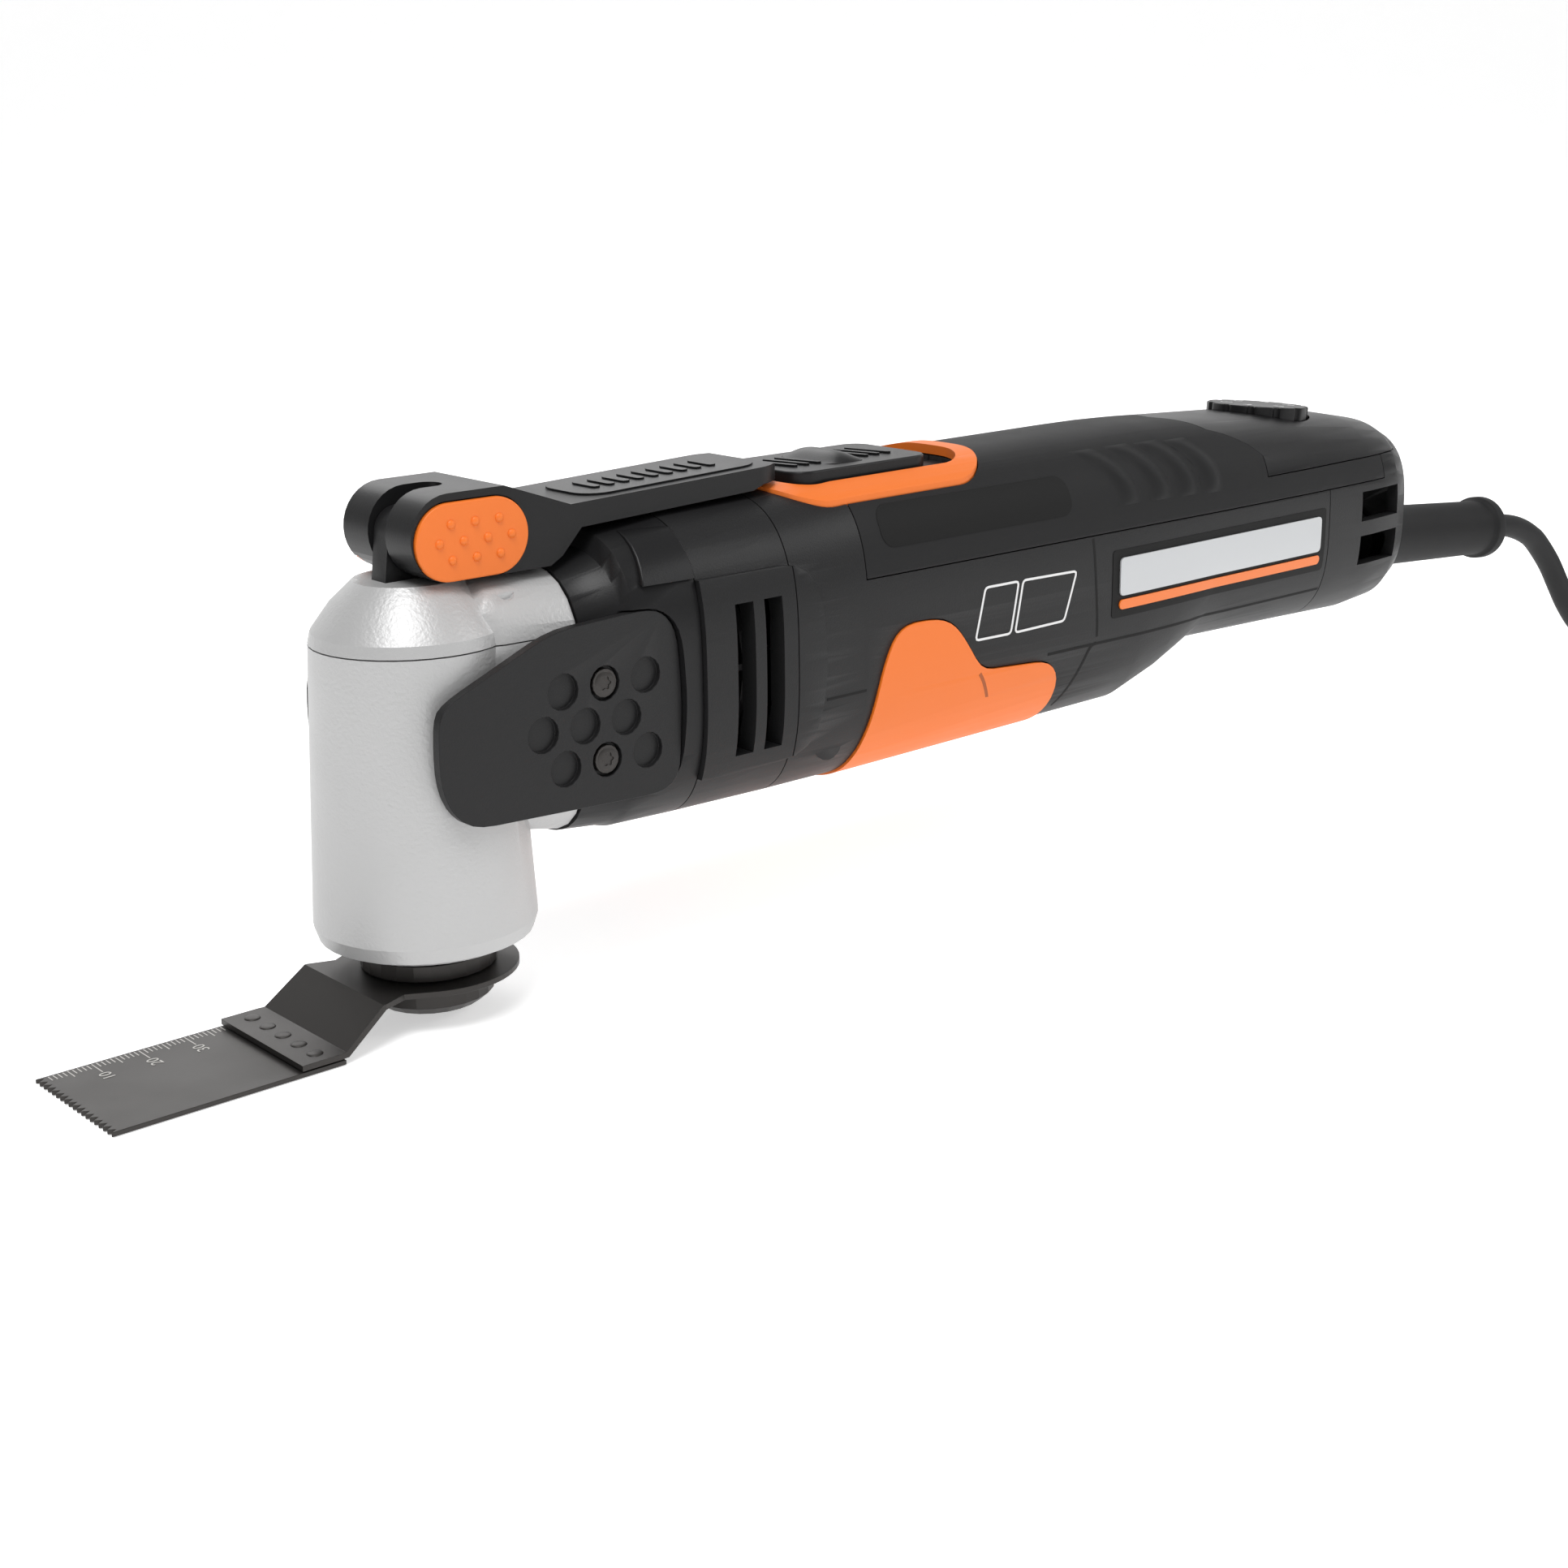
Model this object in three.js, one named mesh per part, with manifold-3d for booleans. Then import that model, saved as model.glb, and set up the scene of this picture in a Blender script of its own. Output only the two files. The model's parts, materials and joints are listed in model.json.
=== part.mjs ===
// Corded oscillating multi tool: an upright silver gear head with a quick-release lever on top and a cranked
// saw blade below, and a long black motor body that ends in a strain relief, a mains lead and a plug.
// Millimetres. +X runs from the spindle to the lead, +Z is up, and the spindle stands on the Z axis.
import * as THREE from "three";
import { mergeVertices } from "three/addons/utils/BufferGeometryUtils.js";
import Module from "manifold-3d";

const wasm = await Module();
wasm.setup();

// ---- Driving dimensions ----
const GAP = 0.3; // left between pieces that touch
const WALL = 3.3; // plastic shells
const SKIN = 1.5; // overmoulded grip and pads

// The saw blade's underside is at Z = 0.
const BLADE_TIP_X = -80;
const BLADE_WIDTH = 33;
const BLADE_THICKNESS = 1;
const BLADE_TEETH = 18;
const TOOTH_DEPTH = 1.4;
const MOUNT_THICKNESS = 1.2;
const MOUNT_FRONT_X = -40;
const FOLD_LOW_X = -29.5;
const FOLD_HIGH_X = -20;
const MOUNT_TOP_Z = 9.6;
const MOUNT_TAIL_R = 18.8;
const CRANK_WIDTH = 31;

const SPINDLE_R = 6;
const ROD_R = 3.2;
const FLANGE_R = 13.4;
const HOLDER_R = 14.2;
const CLAMP_TRAVEL = 1.6;
const FLANGE_BOTTOM_Z = CLAMP_TRAVEL + 0.2; // the open clamp stays above the blade's underside

// Gear head: a tapered barrel, closed by a domed cap.
const HEAD_BOTTOM_Z = 15.5;
const HEAD_BOTTOM_R = 23.2;
const HEAD_TOP_R = 20.3;
const CAP_SEAM_Z = 78.6;
const CAP_TOP_Z = 91;
const CAP_TOP_R = 10.8;
const NECK_END_X = 27;
const NOTCH_X = 14;
const NOTCH_R = 2.3;
const NOTCH_INNER_Y = 14;

// Quick-release lever, hinged on a cross pin over the spindle.
const LEVER_PIN_Z = 100.1;
const LEVER_PIN_R = 2.5;
const EAR_R = LEVER_PIN_Z - CAP_TOP_Z - GAP; // the lever's round end clears the cap
const EAR_X = 2.6; // off the pin, so it acts as a cam
const LEVER_HALF_WIDTH = 12.5;
const LEVER_SLOT = 6.4;
const LEVER_TIP_X = 91.5;
const ARM_FRONT_Z = [98.2, 103.2];
const ARM_TIP_Z = [100.2, 105.2];
const LEVER_KNEE_X = 30; // the deep front part ends here
const PAD_CENTRE = [7.75, 99.3];
const PAD_LENGTH = 26.3;
const PAD_HEIGHT = 15.6;
const PAD_PROUD = 0.8;

// Motor body: seams along X.
const COLLAR_END_X = 54;
const RING_END_X = 79.6;
const PANEL_END_X = 88.5;
const PANEL_Z = [43, 86];
const PANEL_PROUD = 1.2;
const GRIP_START_X = 101.5;
const REAR_SEAM_X = 270;
const GRIP_END_X = 296;
const BODY_END_X = 317;
const GRIP_EDGE_Z = 79.5;
const AXIS_Z = 64;

// Side guards of the gear head.
const GUARD_INNER_Y = 22.8;
const GUARD_THICKNESS = 2.2;
const DIMPLE_R = 3.8;
const DIMPLE_PITCH = 10.4;
const DIMPLE_ROW = 8;
const DIMPLE_CENTRE = [24.5, 60.5];

// Slide switch and speed dial.
const SWITCH_FRONT_X = 93;
const SWITCH_LENGTH = 41;
const SWITCH_HALF_WIDTH = 13;
const SWITCH_TRAVEL = 8;
const SWITCH_BASE_Z = 98.6;
const SWITCH_TOP_Z = 102.6;
const DECK_Z = SWITCH_BASE_Z - GAP;
const RING_BAR = 5;
const DIAL_X = 270;
const DIAL_R = 13.5;
const DIAL_THICKNESS = 7;
const DIAL_TILT = 5; // degrees, the top face leans towards the lead
const DIAL_TOP_Z = 100;

// Motor, on an axis along X.
const SHAFT_R = 3.2;
const ECCENTRICITY = 0.6;
const ECCENTRIC_X = [14, 21];
const STATOR_X = [118, 158];
const STATOR_R = 21.5;
const ARMATURE_R = 12.9;
const COMMUTATOR_X = [168, 182];
const COMMUTATOR_R = 9;
const FAN_X = 62;
const FAN_R = 20;
const FRONT_BEARING_X = [40, 47];
const FRONT_BEARING_R = 9.5;
const REAR_BEARING_X = [188, 194];
const REAR_BEARING_R = 8;

// Strain relief, lead and plug.
const BOOT_Z = 57;
const BOOT_R = 8.8;
const BOOT_LENGTH = 66;
const BOOT_RIM_R = 8;
const BOOT_DROOP = 4.5; // degrees below level
const NOSE_LENGTH = 6;
const CORD_R = 3.5;
const TURN_PITCH = 7.4;
const HANK_COLUMNS = 2;
const HANK_LAYERS = 3;
const HANK_FOLD_R = 24.7; // middle of the turns
const HANK_RUN_X = [512, 652];
const HANK_BASE_Z = 1.3;
const TIE_X = 527;
const PLUG_X = 588; // where the lead goes in
const PLUG_Y = 12;
const PLUG_LENGTH = 36;
const PLUG_HALF_WIDTH = 14;
const PLUG_HEIGHT = 16;
const PLUG_PIN_R = 2.4;
const PLUG_PIN_LENGTH = 19;
const PLUG_PIN_SPACING = 19;

// The body's outside: half width, top and bottom at stations along X. Sections are rounded boxes.
const ROUNDNESS = 3;
const BODY = [
  { x: 27, side: 22.2, top: 91.4, bottom: 33.6 },
  { x: 36, side: 25, top: 93.5, bottom: 33 },
  { x: 38, side: 26, top: 97, bottom: 32.4 },
  { x: 54, side: 26.6, top: 98.8, bottom: 32 },
  { x: 80, side: 26.6, top: 99.6, bottom: 31.6 },
  { x: 101, side: 26.4, top: 101.2, bottom: 31.5 },
  { x: 194, side: 26.4, top: 101.6, bottom: 32.6 },
  { x: 208, side: 26.2, top: 101.5, bottom: 37 },
  { x: 222, side: 26, top: 101, bottom: 43.5 },
  { x: 262, side: 25.7, top: 99, bottom: 42.6 },
  { x: 290, side: 25, top: 96.2, bottom: 41.8 },
  { x: 303, side: 23.8, top: 93.8, bottom: 42.8 },
  { x: 311, side: 20.5, top: 90.5, bottom: 45.5 },
  { x: 317, side: 13.5, top: 84, bottom: 51.5 },
];
const NECK = [
  { x: -6, side: 15, top: 86, bottom: 42 },
  { x: 10, side: 20.4, top: CAP_TOP_Z, bottom: 37 },
  { x: NECK_END_X, side: 21.6, top: CAP_TOP_Z, bottom: 33.8 },
];

// ---- Solids ----
const FAR = 700; // past every piece
function solid(geometry) {
  const bare = geometry.clone();
  bare.deleteAttribute("normal");
  bare.deleteAttribute("uv");
  const merged = mergeVertices(bare, 1e-4);
  const index = merged.index.array;
  const kept = [];
  for (let i = 0; i < index.length; i += 3) {
    const [a, b, c] = [index[i], index[i + 1], index[i + 2]];
    if (a !== b && b !== c && a !== c) kept.push(a, b, c);
  }
  const mesh = new wasm.Mesh({
    numProp: 3,
    vertProperties: merged.attributes.position.array,
    triVerts: Uint32Array.from(kept),
  });
  return new wasm.Manifold(mesh);
}

function box(x, y, z) {
  const geometry = new THREE.BoxGeometry(x[1] - x[0], y[1] - y[0], z[1] - z[0]);
  geometry.translate((x[0] + x[1]) / 2, (y[0] + y[1]) / 2, (z[0] + z[1]) / 2);
  return solid(geometry);
}

// A body turned about an axis: profile points are [radius, place along the axis].
function turned(profile, axis = "z", centre = [0, 0, 0], segments = 24) {
  const points = profile.map(([r, h]) => new THREE.Vector2(r, h));
  const first = points[0];
  const last = points[points.length - 1];
  if (first.x > 0 || last.x > 0) points.push(first.clone());
  const geometry = new THREE.LatheGeometry(points, segments);
  if (axis === "z") geometry.rotateX(Math.PI / 2);
  if (axis === "x") geometry.rotateZ(-Math.PI / 2);
  geometry.translate(...centre);
  const made = solid(geometry);
  return made;
}

function rod(axis, radius, span, centre, segments = 16) {
  return turned([[0, span[0]], [radius, span[0]], [radius, span[1]], [0, span[1]]], axis, centre, segments);
}

function sleeve(axis, inner, outer, span, centre, segments = 16) {
  const profile = [[inner, span[0]], [outer, span[0]], [outer, span[1]], [inner, span[1]]];
  return turned(profile, axis, centre, segments);
}

// An outline in X and Z, pushed through along Y between two places.
function acrossY(shape, y, curveSegments = 8) {
  const geometry = new THREE.ExtrudeGeometry(shape, { depth: y[1] - y[0], bevelEnabled: false, curveSegments });
  geometry.rotateX(Math.PI / 2);
  geometry.translate(0, y[1], 0);
  return solid(geometry);
}

// An outline in X and Y, raised along Z between two heights.
function upZ(shape, z, curveSegments = 8) {
  const geometry = new THREE.ExtrudeGeometry(shape, { depth: z[1] - z[0], bevelEnabled: false, curveSegments });
  geometry.translate(0, 0, z[0]);
  return solid(geometry);
}

function polygon(points) {
  return new THREE.Shape(points.map(([x, y]) => new THREE.Vector2(x, y)));
}

// A straight-sided outline with half-round or rounded ends, grown by a margin.
function rounded(x, y, radius, margin = 0) {
  const [x0, x1, y0, y1] = [x[0] - margin, x[1] + margin, y[0] - margin, y[1] + margin];
  const r = radius + margin;
  const shape = new THREE.Shape();
  shape.absarc(x1 - r, y0 + r, r, -Math.PI / 2, 0);
  shape.absarc(x1 - r, y1 - r, r, 0, Math.PI / 2);
  shape.absarc(x0 + r, y1 - r, r, Math.PI / 2, Math.PI);
  shape.absarc(x0 + r, y0 + r, r, Math.PI, 1.5 * Math.PI);
  shape.closePath();
  return shape;
}

// A closed outline whose corners are eased off by a radius.
function softened(points, radius) {
  const corners = points.map(([x, y]) => new THREE.Vector2(x, y));
  const shape = new THREE.Shape();
  corners.forEach((corner, i) => {
    const before = corners[(i + corners.length - 1) % corners.length];
    const after = corners[(i + 1) % corners.length];
    const reach = (other) => Math.min(radius, 0.45 * corner.distanceTo(other)) / corner.distanceTo(other);
    const enter = corner.clone().lerp(before, reach(before));
    const leave = corner.clone().lerp(after, reach(after));
    if (i === 0) shape.moveTo(enter.x, enter.y);
    else shape.lineTo(enter.x, enter.y);
    shape.quadraticCurveTo(corner.x, corner.y, leave.x, leave.y);
  });
  shape.closePath();
  return shape;
}

function mirrored(made) {
  return made.mirror([0, 1, 0]);
}

// The station table read at any x, with the section drawn in by an inset.
function sectionAt(table, x, inset) {
  let i = 0;
  while (i < table.length - 2 && x > table[i + 1].x) i += 1;
  const [a, b] = [table[i], table[i + 1]];
  const t = (x - a.x) / (b.x - a.x);
  const mix = (key) => a[key] + t * (b[key] - a[key]);
  return { side: mix("side") - inset, top: mix("top") - inset, bottom: mix("bottom") + inset };
}

function sectionRing(x, section, count) {
  const middle = (section.top + section.bottom) / 2;
  const half = (section.top - section.bottom) / 2;
  const power = 2 / ROUNDNESS;
  const ring = [];
  for (let i = 0; i < count; i += 1) {
    const angle = (2 * Math.PI * (i + 0.5)) / count;
    const c = Math.cos(angle);
    const s = Math.sin(angle);
    const y = section.side * Math.sign(c) * Math.abs(c) ** power;
    const z = middle + half * Math.sign(s) * Math.abs(s) ** power;
    ring.push([x, y, z]);
  }
  return ring;
}

// A closed skin over all of the table's sections, carried on a little past its two ends.
function skin(table, inset, count, lead, tail) {
  const places = table.map((station) => station.x);
  places[0] -= lead;
  places[places.length - 1] += tail;
  const positions = [];
  const indices = [];
  places.forEach((x) => sectionRing(x, sectionAt(table, x, inset), count).forEach((p) => positions.push(...p)));
  for (let k = 0; k < places.length - 1; k += 1) {
    for (let i = 0; i < count; i += 1) {
      const a = k * count + i;
      const b = k * count + ((i + 1) % count);
      indices.push(a, b, a + count, b, b + count, a + count);
    }
  }
  [0, places.length - 1].forEach((k) => {
    const section = sectionAt(table, places[k], inset);
    const hub = positions.length / 3;
    positions.push(places[k], 0, (section.top + section.bottom) / 2);
    for (let i = 0; i < count; i += 1) {
      const a = k * count + i;
      const b = k * count + ((i + 1) % count);
      if (k === 0) indices.push(hub, b, a);
      else indices.push(hub, a, b);
    }
  });
  const geometry = new THREE.BufferGeometry();
  geometry.setAttribute("position", new THREE.Float32BufferAttribute(positions, 3));
  geometry.setIndex(indices);
  return solid(geometry);
}

// The skin between two places along X. Every piece of a shell is cut from the same skin, so their faces agree.
const skins = new Map();
function loft(table, span, inset = 0, count = 28) {
  const key = `${table[0].x} ${inset} ${count}`;
  if (!skins.has(key)) skins.set(key, skin(table, inset, count, 20, 1));
  return skins.get(key).intersect(box(span, [-FAR, FAR], [-FAR, FAR]));
}

// A tube along a smooth curve through hand-chosen points.
function tube(points, radius, steps, sides = 8) {
  const curve = new THREE.CatmullRomCurve3(points.map((p) => new THREE.Vector3(...p)), false, "centripetal");
  const shape = new THREE.Shape();
  for (let i = 0; i < sides; i += 1) {
    const angle = (2 * Math.PI * i) / sides;
    const corner = [radius * Math.cos(angle), radius * Math.sin(angle)];
    if (i === 0) shape.moveTo(...corner);
    else shape.lineTo(...corner);
  }
  shape.closePath();
  const geometry = new THREE.ExtrudeGeometry(shape, { steps, extrudePath: curve, bevelEnabled: false });
  return solid(geometry);
}

const NEAR_HALF = box([-FAR, FAR], [-FAR, -GAP / 2], [-FAR, FAR]);
const FAR_HALF = box([-FAR, FAR], [GAP / 2, FAR], [-FAR, FAR]);

// ---- The exported assembly ----
const tool = new THREE.Group();
tool.name = "oscillating_multi_tool";
const droop = (BOOT_DROOP * Math.PI) / 180;
const BOOT_END_X = BODY_END_X + BOOT_LENGTH * Math.cos(droop) + BOOT_RIM_R * Math.sin(droop);
tool.position.set(-(BLADE_TIP_X + BOOT_END_X) / 2, 0, 0); // the origin is under the middle of the tool

function finish(color, roughness, metalness = 0) {
  return { color, roughness, metalness };
}
const CASTING = finish(0xbfc1c4, 0.55, 0.6);
const BLACK = finish(0x2b2c2f, 0.6);
const SOFT_BLACK = finish(0x242527, 0.85);
const ORANGE = finish(0xf07a1e, 0.5);
const STEEL = finish(0x9a9da1, 0.35, 0.9);
const DARK_STEEL = finish(0x3c3a39, 0.5, 0.7);
const COPPER = finish(0xb06a3a, 0.4, 0.8);
const BRIGHT = finish(0xc9b26a, 0.35, 0.9);
const CARBON = finish(0x2a2a2a, 0.8);
const BOARD = finish(0x2f6b3f, 0.6);

function add(name, made, look) {
  const mesh = made.getMesh();
  const geometry = new THREE.BufferGeometry();
  geometry.setAttribute("position", new THREE.BufferAttribute(mesh.vertProperties, 3));
  geometry.setIndex(new THREE.BufferAttribute(mesh.triVerts, 1));
  geometry.computeVertexNormals();
  const piece = new THREE.Mesh(geometry, new THREE.MeshStandardMaterial(look));
  piece.name = name;
  tool.add(piece);
}

// ---- Gear head ----
const LOWER_BEARING_Z = [22, 29];
const LOWER_BEARING_R = 11;
const UPPER_BEARING_Z = [79.5, 85.5];
const UPPER_BEARING_R = 9;
const HEAD_CAVITY_R = 16.5;

function gearHousing() {
  const top = CAP_SEAM_Z - GAP / 2;
  const barrel = turned([
    [0, HEAD_BOTTOM_Z],
    [HEAD_BOTTOM_R - 4, HEAD_BOTTOM_Z],
    [HEAD_BOTTOM_R - 1, HEAD_BOTTOM_Z + 1.4],
    [HEAD_BOTTOM_R, HEAD_BOTTOM_Z + 4.5],
    [HEAD_TOP_R, top],
    [0, top],
  ], "z", [0, 0, 0], 36);
  const neck = loft(NECK, [-6, NECK_END_X - GAP / 2]).subtract(box([-FAR, FAR], [-FAR, FAR], [top, FAR]));
  const cavity = rod("z", HEAD_CAVITY_R, [LOWER_BEARING_Z[1] + 1, FAR], [0, 0, 0]);
  const seat = rod("z", LOWER_BEARING_R + GAP, [LOWER_BEARING_Z[0] - GAP, LOWER_BEARING_Z[1] + 2], [0, 0, 0]);
  const mouth = rod("z", SPINDLE_R + 3, [0, LOWER_BEARING_Z[0]], [0, 0, 0]);
  const bore = loft(NECK, [4, FAR], WALL + 0.7, 16);
  return barrel.add(neck).subtract(cavity).subtract(seat).subtract(mouth).subtract(bore);
}

function gearHousingCap() {
  const base = CAP_SEAM_Z + GAP / 2;
  const dome = turned([
    [0, base],
    [HEAD_TOP_R, base],
    [HEAD_TOP_R - 0.6, base + 2.4],
    [15.6, 86.6],
    [CAP_TOP_R, CAP_TOP_Z],
    [0, CAP_TOP_Z],
  ], "z", [0, 0, 0], 36);
  const roof = loft(NECK, [-6, NECK_END_X - GAP / 2]).subtract(box([-FAR, FAR], [-FAR, FAR], [-FAR, base]));
  const seat = rod("z", UPPER_BEARING_R + GAP, [0, UPPER_BEARING_Z[1] + GAP], [0, 0, 0]);
  const bore = loft(NECK, [12, FAR], WALL + 0.7, 16);
  const lugOutline = new THREE.Shape();
  lugOutline.absarc(0, LEVER_PIN_Z, 5.2, 0, Math.PI);
  lugOutline.lineTo(-6.5, CAP_TOP_Z - 1);
  lugOutline.lineTo(6.5, CAP_TOP_Z - 1);
  lugOutline.closePath();
  const lugHalf = LEVER_SLOT / 2 - 2 * GAP;
  const lug = acrossY(lugOutline, [-lugHalf, lugHalf]);
  const pinHole = rod("y", LEVER_PIN_R + GAP, [-FAR, FAR], [0, 0, LEVER_PIN_Z]);
  const rodHole = rod("z", ROD_R + 2 * GAP, [0, CAP_TOP_Z - 1.6], [0, 0, 0]);
  const notch = rod("y", NOTCH_R, [NOTCH_INNER_Y, FAR], [NOTCH_X, 0, CAP_TOP_Z - NOTCH_R], 12);
  return dome.add(roof).subtract(bore).subtract(seat).add(lug).subtract(pinHole).subtract(rodHole)
    .subtract(notch).subtract(mirrored(notch));
}

add("gear_housing", gearHousing(), CASTING);
add("gear_housing_cap", gearHousingCap(), CASTING);
add("lower_spindle_bearing",
  sleeve("z", SPINDLE_R + GAP, LOWER_BEARING_R, LOWER_BEARING_Z, [0, 0, 0]), STEEL);
add("upper_spindle_bearing",
  sleeve("z", SPINDLE_R + GAP, UPPER_BEARING_R, UPPER_BEARING_Z, [0, 0, 0]), STEEL);

// ---- Side guards ----
function guardOutline(margin) {
  return softened([
    [-10.5 - margin, 55],
    [-8 - margin, 48.5 - margin],
    [-3, 44.5 - margin],
    [44, 42.5 - margin],
    [48.5 + margin, 45.5 - margin],
    [49.5 + margin, 62],
    [48.6 + margin, 76 + margin],
    [45.5 + margin, 80.5 + margin],
    [41, 82 + margin],
    [17.5, 81 + margin],
    [-8 - margin, 70.5 + margin],
    [-10.2 - margin, 67.5],
  ], 5);
}

function guardPattern() {
  const [cx, cz] = DIMPLE_CENTRE;
  const dimples = [-1, 0, 1].map((i) => [cx + i * DIMPLE_PITCH, cz]);
  const screws = [];
  [-1, 1].forEach((row) => {
    const z = cz + row * DIMPLE_ROW;
    dimples.push([cx - DIMPLE_PITCH / 2, z], [cx + 1.5 * DIMPLE_PITCH, z]);
    screws.push([cx + DIMPLE_PITCH / 2, z]);
  });
  return { dimples, screws };
}
const GUARD = guardPattern();
const GUARD_SCREW_R = 1.6;
const GUARD_SCREW_END_Y = 17.5;
const GUARD_SCREW_HEAD_R = 3;

function sideGuard() {
  const outer = GUARD_INNER_Y + GUARD_THICKNESS;
  let plate = acrossY(guardOutline(0), [GUARD_INNER_Y, outer], 3);
  GUARD.dimples.forEach(([x, z]) => {
    plate = plate.subtract(rod("y", DIMPLE_R, [outer - 1.2, FAR], [x, 0, z], 16));
  });
  GUARD.screws.forEach(([x, z]) => {
    plate = plate.subtract(rod("y", GUARD_SCREW_HEAD_R + 0.7, [outer - 1.5, FAR], [x, 0, z], 16));
    plate = plate.subtract(rod("y", GUARD_SCREW_R + GAP, [0, FAR], [x, 0, z], 10));
  });
  return plate;
}

function guardScrew([x, z]) {
  const outer = GUARD_INNER_Y + GUARD_THICKNESS;
  const headBase = outer - 1.5 + GAP;
  const head = rod("y", GUARD_SCREW_HEAD_R, [headBase, outer - 0.1], [x, 0, z], 16);
  const shank = rod("y", GUARD_SCREW_R, [GUARD_SCREW_END_Y, headBase + 0.5], [x, 0, z], 12);
  return head.add(shank);
}

add("side_guard_left", sideGuard(), BLACK);
add("side_guard_right", mirrored(sideGuard()), BLACK);
GUARD.screws.forEach((place, i) => {
  const level = i === 0 ? "lower" : "upper";
  add(`side_guard_screw_left_${level}`, guardScrew(place), DARK_STEEL);
  add(`side_guard_screw_right_${level}`, mirrored(guardScrew(place)), DARK_STEEL);
});

// ---- Collar and vent ring ----
function bearingWall(span, radius, inset) {
  return loft(BODY, span, inset, 24).subtract(rod("x", radius + GAP, [0, FAR], [0, 0, AXIS_Z]));
}

function frontCollar() {
  const span = [NECK_END_X + GAP / 2, COLLAR_END_X - GAP / 2];
  let made = loft(BODY, span).subtract(loft(BODY, [0, FAR], WALL + 0.7, 16));
  made = made.add(bearingWall([FRONT_BEARING_X[0] - 2, FRONT_BEARING_X[1] + 1], FRONT_BEARING_R, WALL));
  const pocket = acrossY(guardOutline(GAP), [GUARD_INNER_Y - GAP, FAR], 3);
  made = made.subtract(pocket).subtract(mirrored(pocket));
  GUARD.screws.forEach(([x, z]) => {
    made = made.subtract(rod("y", GUARD_SCREW_R + GAP, [-FAR, FAR], [x, 0, z], 10));
  });
  return made;
}

// A raised panel on each side, round the vents and a little way along the motor housing.
function sidePanels(span) {
  const outline = softened([
    [COLLAR_END_X - 20, PANEL_Z[0]],
    [PANEL_END_X - 3, PANEL_Z[0]],
    [PANEL_END_X, (PANEL_Z[0] + PANEL_Z[1]) / 2],
    [PANEL_END_X - 3, PANEL_Z[1]],
    [COLLAR_END_X - 20, PANEL_Z[1]],
  ], 9);
  const sides = acrossY(outline, [-FAR, FAR], 4).subtract(box([0, FAR], [-23.5, 23.5], [0, FAR]));
  return loft(BODY, span, -PANEL_PROUD).intersect(sides);
}

function ventRing() {
  const span = [COLLAR_END_X + GAP / 2, RING_END_X - GAP / 2];
  let made = loft(BODY, span).add(sidePanels(span)).subtract(loft(BODY, [0, FAR], WALL, 16));
  [62.5, 70.5].forEach((x) => {
    made = made.subtract(box([x, x + 5], [-FAR, FAR], [47, 80]));
  });
  return made;
}

add("front_collar", frontCollar(), BLACK);
add("vent_ring", ventRing(), BLACK);

// ---- Overlays on the motor body: each is a skin of the body, cut to an outline ----
const SWITCH_PLAN = [[SWITCH_FRONT_X - 3.5, SWITCH_FRONT_X + SWITCH_LENGTH + SWITCH_TRAVEL + 3.5],
  [-SWITCH_HALF_WIDTH - 1.2, SWITCH_HALF_WIDTH + 1.2]];
const WELL_CORNER = 9;

function ringPlan(margin) {
  return rounded(SWITCH_PLAN[0], SWITCH_PLAN[1], WELL_CORNER, margin);
}

function dialCoverPlan(margin) {
  return polygon([
    [224.6 - margin, 0],
    [229.7 - margin, -15],
    [244 - margin, -22.5],
    [244 - margin, -FAR],
    [306 + margin, -FAR],
    [306 + margin, FAR],
    [244 - margin, FAR],
    [244 - margin, 22.5],
    [229.7 - margin, 15],
  ]);
}
const DIAL_COVER_EDGE_Z = 86;

function dialCoverBlock(margin) {
  return upZ(dialCoverPlan(margin), [DIAL_COVER_EDGE_Z - margin, FAR]);
}

function bellyBlock(margin) {
  return acrossY(softened([
    [99.5 - margin, 20],
    [101 - margin, 38],
    [105.5 - margin, 58],
    [109 - margin, 65.5],
    [114 - margin, 68 + margin],
    [124 + margin, 67.4 + margin],
    [129 + margin, 64.5 + margin],
    [137.5 + margin, 53 + margin],
    [160 + margin, 51.4 + margin],
    [164.5 + margin, 47.5],
    [165.5 + margin, 40],
    [163 + margin, 20],
  ], 4), [-FAR, FAR], 3);
}

function bodySkin(span) {
  return loft(BODY, span).subtract(loft(BODY, [0, FAR], SKIN));
}

const GRIP_BLOCK = box([GRIP_START_X, GRIP_END_X], [-FAR, FAR], [GRIP_EDGE_Z + GAP / 2, FAR]);
const GRIP_BED = box([GRIP_START_X - GAP, GRIP_END_X + GAP], [-FAR, FAR], [GRIP_EDGE_Z - GAP / 2, FAR]);

function dialPlaced(made) {
  return made.rotate([0, DIAL_TILT, 0]).translate([DIAL_X, 0, DIAL_TOP_Z]);
}
const DIAL_WELL = dialPlaced(rod("z", DIAL_R + 2 * GAP, [-DIAL_THICKNESS - GAP, 20], [0, 0, 0], 32));

function softGrip() {
  return bodySkin([GRIP_START_X, GRIP_END_X + 5])
    .intersect(GRIP_BLOCK)
    .subtract(upZ(ringPlan(RING_BAR + GAP), [60, FAR]))
    .subtract(dialCoverBlock(GAP));
}

function dialCover() {
  return bodySkin([200, 310]).intersect(dialCoverBlock(0)).subtract(DIAL_WELL);
}

function switchRing() {
  const proud = loft(BODY, [80, 170], -0.7);
  const band = upZ(ringPlan(RING_BAR), [80, FAR]).subtract(upZ(ringPlan(0), [0, FAR]));
  return proud.subtract(loft(BODY, [0, FAR], SKIN)).intersect(band);
}

function bellyPads() {
  return loft(BODY, [90, 175], -0.5).subtract(loft(BODY, [0, FAR], SKIN)).intersect(bellyBlock(0));
}

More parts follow.
